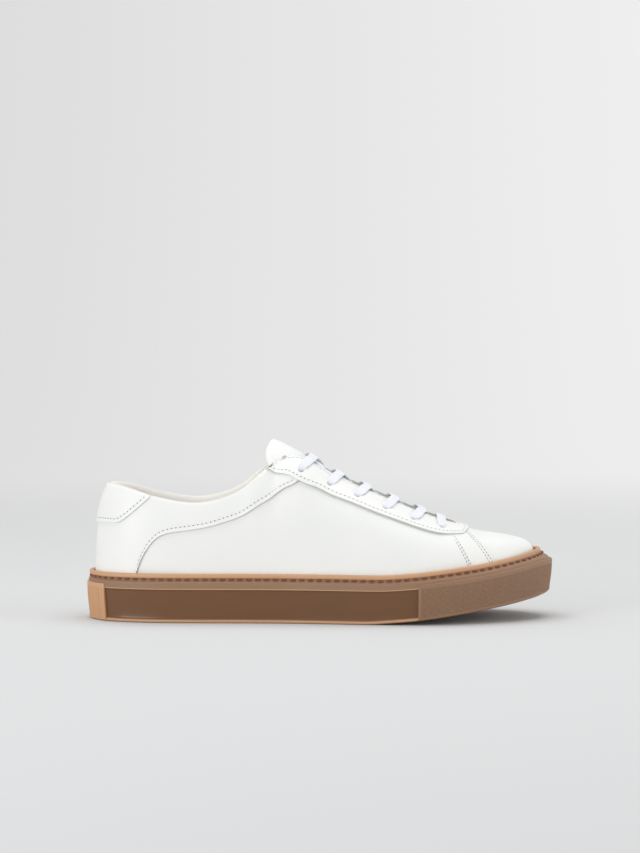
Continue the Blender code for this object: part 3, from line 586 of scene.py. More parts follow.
class Mesher:
    """Turns grids of points in millimetres into objects in metres."""

    @staticmethod
    def make(
        name: str,
        points: Array,
        faces: list[tuple[int, ...]],
        finishes: Sequence[Finish],
        slots: Sequence[int] | None = None,
    ) -> bpy.types.Object:
        """A smooth mesh object at the origin.

        Args:
            name: the piece's name.
            points: array (n, 3).
            faces: corner numbers of each face.
            finishes: one finish for each material slot.
            slots: the material slot of each face.

        Returns:
            The object.
        """
        mesh = bpy.data.meshes.new(name)
        mesh.from_pydata((np.asarray(points).reshape(-1, 3) * MM).tolist(), [], faces)
        if slots is not None:
            mesh.polygons.foreach_set("material_index", list(slots))
        bm = bmesh.new()
        bm.from_mesh(mesh)
        bmesh.ops.remove_doubles(bm, verts=bm.verts, dist=MERGE_DISTANCE * MM)
        bmesh.ops.dissolve_degenerate(bm, edges=bm.edges, dist=0.5 * MERGE_DISTANCE * MM)
        bm.to_mesh(mesh)
        bm.free()
        mesh.shade_smooth()
        obj = bpy.data.objects.new(name, mesh)
        bpy.context.scene.collection.objects.link(obj)
        for finish in finishes:
            mesh.materials.append(finish.build())
        return obj

    @staticmethod
    def quads(columns: int, rows: int, around: bool = False, flip: bool = False, start: int = 0) -> list:
        """Faces of a grid of columns, each a run of rows.

        Args:
            columns: number of columns.
            rows: points in each.
            around: whether the last column joins the first.
            flip: turn the faces over.
            start: number of the grid's first point.

        Returns:
            The faces.
        """
        faces = []
        for i in range(columns if around else columns - 1):
            for j in range(rows - 1):
                a, b = start + i * rows + j, start + (i + 1) % columns * rows + j
                face = (a, b, b + 1, a + 1)
                faces.append(face[::-1] if flip else face)
        return faces

    @staticmethod
    def tube(rings: int, corners: int) -> list:
        """Faces of a closed tube of rings, with a cap on each end.

        Args:
            rings: number of rings.
            corners: points in each.

        Returns:
            The faces.
        """
        faces = []
        for i in range(rings - 1):
            for j in range(corners):
                a, b = i * corners + j, i * corners + (j + 1) % corners
                faces.append((a, a + corners, b + corners, b))
        faces.append(tuple(range(corners)))
        faces.append(tuple(range(rings * corners - 1, (rings - 1) * corners - 1, -1)))
        return faces

    @staticmethod
    def face_outwards(obj: bpy.types.Object) -> None:
        """Turns every face of a piece's closed parts outwards."""
        bm = bmesh.new()
        bm.from_mesh(obj.data)
        bmesh.ops.recalc_face_normals(bm, faces=bm.faces)
        bm.to_mesh(obj.data)
        bm.free()

    @staticmethod
    def sheet(name: str, points: Array, finishes: Sequence[Finish], flip: bool = False) -> bpy.types.Object:
        """An open sheet from a grid (columns, rows, 3)."""
        faces = Mesher.quads(points.shape[0], points.shape[1], flip=flip)
        return Mesher.make(name, points, faces, finishes)

    @staticmethod
    def shell(
        name: str, outer: Array, inner: Array, finishes: Sequence[Finish], flip: bool = False
    ) -> bpy.types.Object:
        """A closed body between two grids (columns, rows, 3) of the same size."""
        columns, rows = outer.shape[:2]
        total = columns * rows
        faces = Mesher.quads(columns, rows, flip=flip)
        faces += Mesher.quads(columns, rows, flip=not flip, start=total)
        rim = [i * rows for i in range(columns)]
        rim += [(columns - 1) * rows + j for j in range(1, rows)]
        rim += [i * rows + rows - 1 for i in range(columns - 2, -1, -1)]
        rim += list(range(rows - 2, 0, -1))
        for a, b in zip(rim, [*rim[1:], rim[0]]):
            face = (b, a, a + total, b + total)
            faces.append(face[::-1] if flip else face)
        points = np.concatenate([outer.reshape(-1, 3), inner.reshape(-1, 3)])
        return Mesher.make(name, points, faces, finishes)

    @staticmethod
    def leather_stack(obj: bpy.types.Object, thickness: float, edge: float = 0.3, levels: int = 1) -> None:
        """Gives a sheet its thickness, its softened cut edge and a smoother surface.

        Args:
            obj: the open sheet, its face outwards.
            thickness: of the leather.
            edge: how far the cut edge is rounded.
            levels: of subdivision.
        """
        solid = obj.modifiers.new("thickness", "SOLIDIFY")
        solid.thickness = thickness * MM
        solid.offset = -1.0
        # The rims take the second finish: the cut edge, greyed partly as painted shade.
        solid.material_offset_rim = 1 if len(obj.data.materials) > 1 else 0
        bevel = obj.modifiers.new("edge", "BEVEL")
        bevel.width = edge * MM
        bevel.segments = 2
        bevel.limit_method = "ANGLE"
        bevel.angle_limit = SHARP_EDGE
        Mesher.subdivide(obj, levels)

    @staticmethod
    def subdivide(obj: bpy.types.Object, levels: int) -> None:
        """Adds a live subdivision with the same levels in every use."""
        if levels:
            smooth = obj.modifiers.new("smooth", "SUBSURF")
            smooth.levels = levels
            smooth.render_levels = levels

    @staticmethod
    def apply(obj: bpy.types.Object) -> None:
        """Applies every modifier of a piece."""
        bpy.context.view_layer.update()
        graph = bpy.context.evaluated_depsgraph_get()
        mesh = bpy.data.meshes.new_from_object(obj.evaluated_get(graph), depsgraph=graph)
        obj.modifiers.clear()
        obj.data = mesh


# ------------------------------------------------------------------ pieces of leather


STITCH_MARGIN = 2.6
EDGE_ROWS = (0.0, 0.5, 1.3, 2.0, STITCH_MARGIN, 3.2, 4.2)
PLAIN_ROWS = (0.0, 1.0)


@dataclass
class Patch:
    """A four-sided piece of leather on the last, between a low edge and a high edge.

    low and high are matching key places along the two edges. Columns join them. Rows and columns lie
    closer together near the edges, at the distances given.
    """

    low: Array
    high: Array
    spacing: float = 2.6
    low_rows: tuple[float, ...] = EDGE_ROWS
    high_rows: tuple[float, ...] = PLAIN_ROWS
    start_rows: tuple[float, ...] = PLAIN_ROWS
    end_rows: tuple[float, ...] = PLAIN_ROWS
    middle: int = 0
    places: Array = field(init=False)
    to_low: Array = field(init=False)
    to_high: Array = field(init=False)
    to_start: Array = field(init=False)
    to_end: Array = field(init=False)

    def __post_init__(self) -> None:
        """Lays out the grid and measures each point's distance to the four edges."""
        keys = len(self.low) - 1
        t = np.linspace(0.0, keys, 30 * keys + 1)
        low, high = spline(self.low, t), spline(self.high, t)
        lines = [LAST.skin(line) for line in (low, 0.5 * (low + high), high)]
        run = np.mean([run_of(line) for line in lines], axis=0)
        t = np.interp(self.divide(np.array([run[-1]]), self.start_rows, self.end_rows)[0], run, t)
        low, high = spline(self.low, t), spline(self.high, t)
        f = np.linspace(0.0, 1.0, 21)[None, :, None]
        lines = LAST.skin(low[:, None] * (1.0 - f) + high[:, None] * f)
        arcs = np.cumsum(np.linalg.norm(np.diff(lines, axis=1), axis=2), axis=1)
        arcs = np.concatenate([np.zeros((len(arcs), 1)), arcs], axis=1)
        rows = self.divide(arcs[:, -1], self.low_rows, self.high_rows, self.middle)
        part = np.array([np.interp(rows[i], arcs[i], f[0, :, 0]) for i in range(len(rows))])[:, :, None]
        self.places = low[:, None] * (1.0 - part) + high[:, None] * part
        self.to_low = rows
        self.to_high = rows[:, -1:] - rows
        points = LAST.skin(self.places)
        along = np.linalg.norm(np.diff(points, axis=0), axis=2)
        zero = np.zeros((1, points.shape[1]))
        self.to_start = np.concatenate([zero, np.cumsum(along, axis=0)])
        self.to_end = self.to_start[-1:] - self.to_start

    def divide(
        self, totals: Array, first: tuple[float, ...], last: tuple[float, ...], middle: int = 0
    ) -> Array:
        """Distances that divide each length, closer together near its ends.

        Args:
            totals: the lengths.
            first: distances from the near end.
            last: distances from the far end.
            middle: how many steps between those, or 0 to take them from the spacing.

        Returns:
            Array (lengths, divisions).
        """
        near, far = np.array(first), np.array(last)[::-1]
        middle = middle or max(2, round((float(np.mean(totals)) - near[-1] - far[0]) / self.spacing))
        rows = []
        for total in totals:
            shrink = min(1.0, 0.8 * total / max(near[-1] + far[0], 1e-6))
            low, high = near * shrink, total - far * shrink
            rows.append(np.concatenate([low, np.linspace(low[-1], high[0], middle + 1)[1:-1], high]))
        return np.array(rows)

    def line(self, edge: str, distance: float) -> Array:
        """The places a distance inside one edge.

        Args:
            edge: low, high, start or end.
            distance: how far inside it.

        Returns:
            Places (n, 2).
        """
        if edge in ("start", "end"):
            far = np.mean(self.to_start if edge == "start" else self.to_end, axis=1)
            return self.places[int(np.argmin(np.abs(far - distance)))]
        far = self.to_low if edge == "low" else self.to_high
        out = []
        for column, measure in zip(self.places, far):
            order = np.argsort(measure)
            out.append([np.interp(distance, measure[order], column[order, k]) for k in (0, 1)])
        return np.array(out)


def seam_dip(distance: Array, row: float = STITCH_MARGIN, depth: float = 0.2) -> Array:
    """How far the thread pulls the leather in, by distance from its edge."""
    return -depth * np.exp(-(((distance - row) / 0.55) ** 2))


@dataclass(frozen=True)
class Seam:
    """A row of lockstitches: short thread loops between needle holes.

    lift is how high a stitch arches and sink how deep its ends go. hole is the radius of the dark disc of
    painted shade at each needle hole, or 0 for none.
    """

    pitch: float = 2.8
    length: float = 2.1
    radius: float = 0.24
    lift: float = 0.1
    sink: float = 0.3
    hole: float = 0.4
    sides: int = 6
    rings: int = 5
    hole_sides: int = 6

    def sew(
        self, name: str, lines: Sequence[tuple[Array, Array]], thread: Finish, hole: Finish
    ) -> bpy.types.Object:
        """Stitches along lines on a surface.

        Args:
            name: the piece's name.
            lines: for each row, its points (n, 3) and the surface's directions there.
            thread: the thread's finish.
            hole: the finish of the dark discs of painted shade at the needle holes.

        Returns:
            One object with every stitch.
        """
        points: list[Array] = []
        faces: list[tuple[int, ...]] = []
        slots: list[int] = []
        start = 0
        for line, outwards in lines:
            run = run_of(line)
            count = int((run[-1] - 0.4) / self.pitch)
            first = 0.5 * (run[-1] - count * self.pitch)

            def read(values: Array, s: Array) -> Array:
                """Values of the row at distances s along it."""
                return np.stack([np.interp(s, run, values[:, k]) for k in range(3)], axis=-1)

            f = np.linspace(0.0, 1.0, self.rings)
            gap = 0.5 * (self.pitch - self.length)
            s = first + np.arange(count)[:, None] * self.pitch + gap + f[None, :] * self.length
            centre, up = read(line, s), unit(read(outwards, s))
            ahead = unit(read(line, s + 0.05) - read(line, s - 0.05))
            side = unit(np.cross(ahead, up))
            arch = np.sin(math.pi * f)[None, :, None]
            centre = centre + up * (self.lift * arch - self.sink * (1.0 - arch) ** 2)
            radius = self.radius * (0.65 + 0.35 * arch)
            for k in range(self.sides):
                angle = math.tau * k / self.sides
                spoke = side * math.cos(angle) + up * math.sin(angle)
                points.append((centre + spoke * radius).reshape(-1, 3))
            total = count * self.rings
            for stitch in range(count):
                for ring in range(self.rings - 1):
                    a = start + stitch * self.rings + ring
                    for k in range(self.sides):
                        b, c = a + k * total, a + (k + 1) % self.sides * total
                        faces.append((b, b + 1, c + 1, c))
                for end, turn in ((0, 1), (self.rings - 1, -1)):
                    cap = [start + stitch * self.rings + end + k * total for k in range(self.sides)]
                    faces.append(tuple(cap[::turn]))
            slots += [0] * (len(faces) - len(slots))
            start += total * self.sides
            # A dark disc at each needle hole: painted shade for the hole's depth.
            if self.hole:
                s = first + np.arange(count + 1) * self.pitch
                centre, up = read(line, s), unit(read(outwards, s))
                ahead = unit(read(line, s + 0.05) - read(line, s - 0.05))
                side = np.cross(ahead, up)
                for k in range(self.hole_sides):
                    angle = math.tau * k / self.hole_sides
                    points.append(centre + (ahead * math.cos(angle) + side * math.sin(angle)) * self.hole)
                points += [centre + up * 0.07, centre - up * 0.2]
                total = count + 1
                for h in range(total):
                    above = start + self.hole_sides * total + h
                    for k in range(self.hole_sides):
                        a = start + k * total + h
                        b = start + (k + 1) % self.hole_sides * total + h
                        faces += [(b, a, above), (a, b, above + total)]
                slots += [1] * (len(faces) - len(slots))
                start += total * (self.hole_sides + 2)
        obj = Mesher.make(name, np.concatenate(points), faces, (thread, hole), slots)
        Mesher.face_outwards(obj)
        return obj


UPPER_SEAM = Seam()


def instep(side: Side, points: Sequence[tuple[float, float]]) -> Array:
    """Places of top-view points beside the throat, mirrored on the medial side."""
    places = LAST.at_top(points, Side.LATERAL)
    if side is Side.MEDIAL:
        places[:, 0] = LOOP - places[:, 0]
    return places


def on_leather(places: Array, depth: Array | float) -> tuple[Array, Array]:
    """A sewing line: its points at a depth and the surface's directions."""
    return LAST.skin(places, depth), LAST.directions(places)


def keep(piece: bpy.types.Object, *nodes: str, body: str = "shoe", slot: str = "") -> bpy.types.Object:
    """Hands a finished piece to the frame.

    Args:
        piece: the object.
        nodes: CAD nodes that it stands for.
        body: the body that it rides on.
        slot: the record's material slot; not used.

    Returns:
        The same object.
    """
    if body:
        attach(piece, body)
    if nodes:
        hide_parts(*nodes)
    LOG.info("%s: %d faces", piece.name, len(piece.data.polygons))
    return piece


# ------------------------------------------------------------------ lace


# A knot of the lace's route: its point, the ribbon's up direction or None, and its width.
Knot = tuple[Array, Array | None, float]


@dataclass
class Lacing:
    """The flat lace: one ribbon from tip to tip.

    It runs straight across the lowest pair of holes and is crossed above them. hole_x and hole_z
    place the rows of holes in side view. over, under and tuck are depths outside the base leather:
    over the facing, under it and along the side linings. rise lifts the upper strand of a crossing.
    tucked_end is the free end's places.
    """

    hole_x: tuple[float, ...] = (77.0, 58.7, 41.0, 23.2, 5.4, -12.2)
    hole_z: tuple[float, ...] = (61.6, 67.2, 74.0, 81.6, 89.1, 97.4)
    width: float = 6.2
    thickness: float = 1.1
    pinched: float = 4.2
    over: float = 2.5
    under: float = -4.2
    rise: float = 3.2
    tuck: float = -5.4
    tucked_end: tuple[tuple[float, float], ...] = (
        (7.6, 0.72),
        (7.9, 0.58),
        (8.6, 0.50),
        (9.5, 0.48),
        (10.4, 0.45),
        (10.75, 0.38),
        (10.3, 0.31),
        (9.4, 0.30),
        (8.5, 0.30),
        (7.6, 0.30),
        (6.9, 0.30),
    )
    aglet_radius: float = 1.3

    def hole_side(self, row: int, side: float) -> float:
        """How far from the middle a row's hole lies on one side."""
        place = LAST.at_side([(self.hole_x[row], self.hole_z[row])], Side(side), self.over - 0.5)
        return abs(float(LAST.skin(place)[0, 1]))

    def knot(self, x: float, y: float, depth: float, side: float, kind: str) -> Knot:
        """One knot of the route on the instep.

        Args:
            x: place along the foot.
            y: distance from the middle.
            depth: outside the base leather.
            side: -1 or 1.
            kind: flat on the leather, hole where the lace goes down through it, or turn between the two.

        Returns:
            The point, the ribbon's up direction or None, and its width.
        """
        which = Side(side)
        place = LAST.at_top([(x, y)], which)
        point = LAST.skin(place, depth)[0]
        if kind == "flat":
            return point, LAST.directions(place)[0], self.width
        if kind == "turn":
            return point, None, 0.6 * self.pinched + 0.4 * self.width
        lower = place.copy()
        lower[:, 1] -= 0.03
        return point, unit(LAST.skin(lower, depth)[0] - point), self.pinched

    def crossing(self, row: int, start: float, tongue: "Tongue") -> list[Knot]:
        """From the hole of a row on side start to the next row's hole on the other side."""
        x, ahead = self.hole_x[row], self.hole_x[row + 1]
        end, far = -start, self.hole_side(row + 1, -start)
        middle = 0.5 * (x + ahead) + 0.4
        tilt = unit(np.array([0.5, 0.0, 0.87]))
        low = tongue.top(middle + 4.0, 7.0) + 1.6
        high = tongue.top(middle, 0.0) + 1.1 + (self.rise if start > 0.0 else 0.4)
        lean = unit(tilt + np.array([0.0, 0.25 * start, 0.0]))
        return [
            self.knot(x, self.hole_side(row, start), self.under, start, "turn"),
            self.knot(x - 3.5, 14.0, self.under, start, "flat"),
            (np.array([middle + 4.0, 7.0 * start, low]), lean, self.width),
            (np.array([middle, 0.0, high]), tilt, self.width),
            self.knot(ahead + 5.6, 12.5, self.over + 0.9, end, "flat"),
            self.knot(ahead + 2.4, far - 4.5, self.over, end, "flat"),
            self.knot(ahead + 0.3, far - 0.9, self.over - 0.5, end, "turn"),
            self.knot(ahead, far, -1.0, end, "hole"),
        ]

    def strand(self, start: float, tongue: "Tongue") -> list[Knot]:
        """Half of the lace, from the lowest hole on side start up to its tip inside the shoe."""
        x = self.hole_x[0]
        route = [self.knot(x, self.hole_side(0, start) - 0.9, self.over - 0.5, start, "turn")]
        route.append(self.knot(x, self.hole_side(0, start), -1.0, start, "hole"))
        side = start
        for row in range(len(self.hole_x) - 1):
            route += self.crossing(row, side, tongue)
            side = -side
        route.append(self.knot(self.hole_x[-1], self.hole_side(-1, side), self.under - 0.8, side, "turn"))
        places = np.array([(c if side < 0.0 else LOOP - c, v) for c, v in self.tucked_end])
        points, ups = LAST.skin(places, self.tuck), LAST.directions(places)
        route += [(p, u, self.width) for p, u in zip(points, ups)]
        return route

    def route(self, tongue: "Tongue") -> list[Knot]:
        """The whole lace's knots, from the tip on one side to the tip on the other."""
        x = self.hole_x[0]
        bar = [
            self.knot(x, self.hole_side(0, -1.0) - 4.5, self.over, -1.0, "flat"),
            self.knot(x, 8.0, self.over + 0.3, -1.0, "flat"),
            self.knot(x, 8.0, self.over + 0.3, 1.0, "flat"),
            self.knot(x, self.hole_side(0, 1.0) - 4.5, self.over, 1.0, "flat"),
        ]
        return [*reversed(self.strand(-1.0, tongue)), *bar, *self.strand(1.0, tongue)]

    def frames(self, knots: list[Knot], parts: int = 9) -> tuple[Array, Array, Array, Array]:
        """Points, up directions, side directions and widths along the lace.

        The ribbon turns about its own run as little as it can and spreads the rest of its twist
        evenly between two knots that say which way is up.
        """
        count = len(knots)
        t = np.linspace(0.0, count - 1, parts * (count - 1) + 1)
        points = spline([k[0] for k in knots], t)
        run = unit(np.gradient(points, axis=0))
        widths = np.interp(t, np.arange(count), [k[2] for k in knots])
        held = [i for i, k in enumerate(knots) if k[1] is not None]
        ups = np.zeros_like(points)

        def square(up: Array, ahead: Array) -> Array:
            """A direction turned until it is square to the way ahead."""
            return unit(up - ahead * float(np.dot(up, ahead)))

        current = square(knots[held[0]][1], run[held[0] * parts])
        ups[: held[0] * parts + 1] = current
        for a, b in zip(held, held[1:]):
            first, last = a * parts, b * parts
            carried = [current]
            for i in range(first + 1, last + 1):
                carried.append(square(carried[-1], run[i]))
            goal = square(knots[b][1], run[last])
            if np.dot(goal, carried[-1]) < 0.0:
                goal = -goal
            aside = float(np.dot(np.cross(carried[-1], goal), run[last]))
            turn = math.atan2(aside, float(np.dot(carried[-1], goal)))
            for k, i in enumerate(range(first, last + 1)):
                angle = turn * float(ease(k / (last - first), 0.0, 1.0))
                ups[i] = carried[k] * math.cos(angle) + np.cross(run[i], carried[k]) * math.sin(angle)
            current = ups[last]
        ups[held[-1] * parts :] = current
        ups = unit(ups - run * np.sum(ups * run, axis=1, keepdims=True))
        return points, ups, unit(np.cross(run, ups)), widths

    def build(self, tongue: "Tongue") -> None:
        """Makes the ribbon and its two tips."""
        points, ups, sides, widths = self.frames(self.route(tongue))
        section = np.array(
            [
                (1.0, 0.0), (0.96, 0.62), (0.78, 1.0), (0.3, 0.86), (-0.3, 0.86), (-0.78, 1.0),
                (-0.96, 0.62), (-1.0, 0.0), (-0.96, -0.62), (-0.78, -1.0), (-0.3, -0.86), (0.3, -0.86),
                (0.78, -1.0), (0.96, -0.62),
            ]
        )
        half = 0.5 * widths[:, None, None]
        thick = 0.5 * self.thickness * (1.0 + 0.5 * (self.width - widths) / self.width)[:, None, None]
        rings = points[:, None] + sides[:, None] * half * section[None, :, :1]
        rings = rings + ups[:, None] * thick * section[None, :, 1:]
        count, corners = len(points), len(section)
        lace = Mesher.make("flat_lace", rings, Mesher.tube(count, corners), (LACE_COTTON,))
        arc = run_of(points)
        across = section[:, 0] * 0.5 * self.width
        layer = lace.data.uv_layers.new(name="weave")
        for loop in lace.data.loops:
            ring, corner = divmod(loop.vertex_index, corners)
            layer.data[loop.index].uv = (across[corner], arc[min(ring, count - 1)])
        Mesher.subdivide(lace, 1)
        tips = [self.tip(name, points[i], points[i] - points[j]) for name, i, j in
                (("medial_lace_tip", 0, 2), ("lateral_lace_tip", -1, -3))]
        keep(lace, "lace", slot="lace_cotton")
        keep(tips[0], "medial_aglet", slot="aglet_plastic")
        keep(tips[1], "lateral_aglet", slot="aglet_plastic")

    def tip(self, name: str, end: Array, away: Array) -> bpy.types.Object:
        """The film crimped round one end of the lace: a slim sleeve with two pressed rings.

        Args:
            name: the piece's name.
            end: where the lace ends.
            away: the direction it ends in.

        Returns:
            The object.
        """
        axis = unit(away)
        side = unit(np.cross(axis, [0.0, 0.0, 1.0]))
        up = np.cross(axis, side)
        r = self.aglet_radius
        # Distance from the lace's end, and radius as a part of the full one.
        stations = (
            (-0.6, 0.8), (-0.6, 1.0), (0.0, 1.06), (3.0, 1.0), (3.6, 0.86), (4.4, 0.86), (5.0, 1.0),
            (12.0, 1.0), (12.6, 0.86), (13.4, 0.86), (14.0, 1.0), (19.0, 0.98), (20.0, 0.8), (20.3, 0.4),
        )
        sides = 14
        rings = []
        for s, part in stations:
            for k in range(sides):
                angle = math.tau * k / sides
                rings.append(end + axis * s + (side * math.cos(angle) + up * math.sin(angle)) * r * part)
        faces = Mesher.tube(len(stations), sides)
        obj = Mesher.make(name, np.array(rings), faces, (AGLET_FILM,))
        Mesher.face_outwards(obj)
        Mesher.subdivide(obj, 1)
        return obj


# ------------------------------------------------------------------ tongue


@dataclass
class Tongue:
    """The padded tongue under the lace, sewn to the vamp at its base."""

    # Centre line from the base to the top edge: x, z, half width, and how steeply the face falls
    # away to each side.
    line: tuple[tuple[float, float, float, float], ...] = (
        (84.0, 55.4, 14.0, 0.42),
        (72.0, 61.2, 18.0, 0.42),
        (50.0, 71.2, 21.5, 0.44),
        (26.0, 82.4, 23.0, 0.47),
        (4.0, 95.0, 23.0, 0.54),
        (-14.0, 107.0, 22.0, 0.95),
        (-31.0, 116.2, 20.0, 1.40),
    )
    crown: float = 10.0
    thickness: float = 6.4
    edge_thickness: float = 3.2
    corner: float = 0.12
    seam_row: float = 3.4
    columns: int = 33
    rows: int = 61

    def point(self, u: Array, w: Array, depth: Array | float) -> Array:
        """Points of the tongue.

        Args:
            u: from its base (0) to its top edge (1).
            w: across, from -1 to 1.
            depth: outside its face.

        Returns:
            Points (n, 3).
        """
        place = np.asarray(u) * (len(self.line) - 1)
        x, z, width, fall = spline(self.line, place).T
        ahead = spline(self.line, place + 0.01)
        run = unit(np.column_stack([ahead[:, 0] - x, ahead[:, 1] - z]))
        up = np.column_stack([run[:, 1], np.zeros_like(x), -run[:, 0]])
        y = w * width
        soft = np.hypot(y, self.crown)
        face = unit(up + np.column_stack([np.zeros_like(x), fall * y / soft, np.zeros_like(x)]))
        middle = np.column_stack([x, y, z]) - up * (fall * (soft - self.crown))[:, None]
        return middle + face * np.reshape(depth, (-1, 1))

    def top(self, x: float, y: float) -> float:
        """Height of the tongue's face at x and y."""
        rows = tuple(reversed(self.line))
        centre = float(eased([(row[0], row[1]) for row in rows], x))
        fall = float(eased([(row[0], row[3]) for row in rows], x))
        return centre - fall * (math.hypot(y, self.crown) - self.crown)

    def build(self) -> None:
        """Makes the tongue as one stuffed piece, with its edge seam."""
        u = np.linspace(0.0, 1.0, self.rows)
        u = u + 0.008 * np.sin(math.pi * u)
        w = np.sin(np.linspace(-0.5, 0.5, self.columns) * math.pi * 0.96) / math.sin(0.48 * math.pi)
        end = np.clip((u - (1.0 - self.corner)) / self.corner, 0.0, 1.0)
        narrow = (1.0 - (0.985 * end) ** 2.6) ** (1.0 / 2.6)
        uu, ww = np.meshgrid(u, w, indexing="ij")
        spread = ww * (0.35 + 0.65 * narrow[:, None])
        half_width, length = 19.0, 140.0
        to_edge = np.minimum((1.0 - np.abs(ww)) * half_width, (1.0 - uu) * length)
        puff = 0.55 * ease(to_edge, 4.2, 9.0) + seam_dip(to_edge, self.seam_row, 0.45)
        puff = puff - 0.9 * np.exp(-to_edge / 0.7)
        hollow = self.edge_thickness + (self.thickness - self.edge_thickness) * ease(to_edge, 2.5, 9.0)
        hollow = hollow - 1.0 * np.exp(-to_edge / 0.7)
        outer = self.point(uu.ravel(), spread.ravel(), puff.ravel()).reshape(*uu.shape, 3)
        inner = self.point(uu.ravel(), spread.ravel(), -hollow.ravel()).reshape(*uu.shape, 3)
        tongue = Mesher.shell("padded_tongue", outer, inner, (UPPER_LEATHER,), flip=True)
        Mesher.subdivide(tongue, 1)
        Mesher.apply(tongue)
        seams = []
        middle = self.columns // 2
        ii = np.arange(self.rows - 4)
        for half in (slice(0, middle), slice(middle, self.columns)):
            jj = np.argmin(np.abs(to_edge[: len(ii), half] - self.seam_row), axis=1) + half.start
            smooth = outer[ii, jj]
            for _ in range(6):
                smooth[1:-1] = 0.25 * smooth[:-2] + 0.5 * smooth[1:-1] + 0.25 * smooth[2:]
            seams.append((smooth, unit(outer[ii, jj] - inner[ii, jj])))
        stitches = UPPER_SEAM.sew("tongue_seam", seams, UPPER_THREAD, NEEDLE_HOLE_SHADE)
        for piece in (tongue, stitches):
            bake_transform(piece)
        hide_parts("tongue_face", "tongue_foam", "tongue_lining")
        keep(tongue, body="", slot="white_leather")
        keep(stitches, body="", slot="white_leather")


# ------------------------------------------------------------------ cup sole


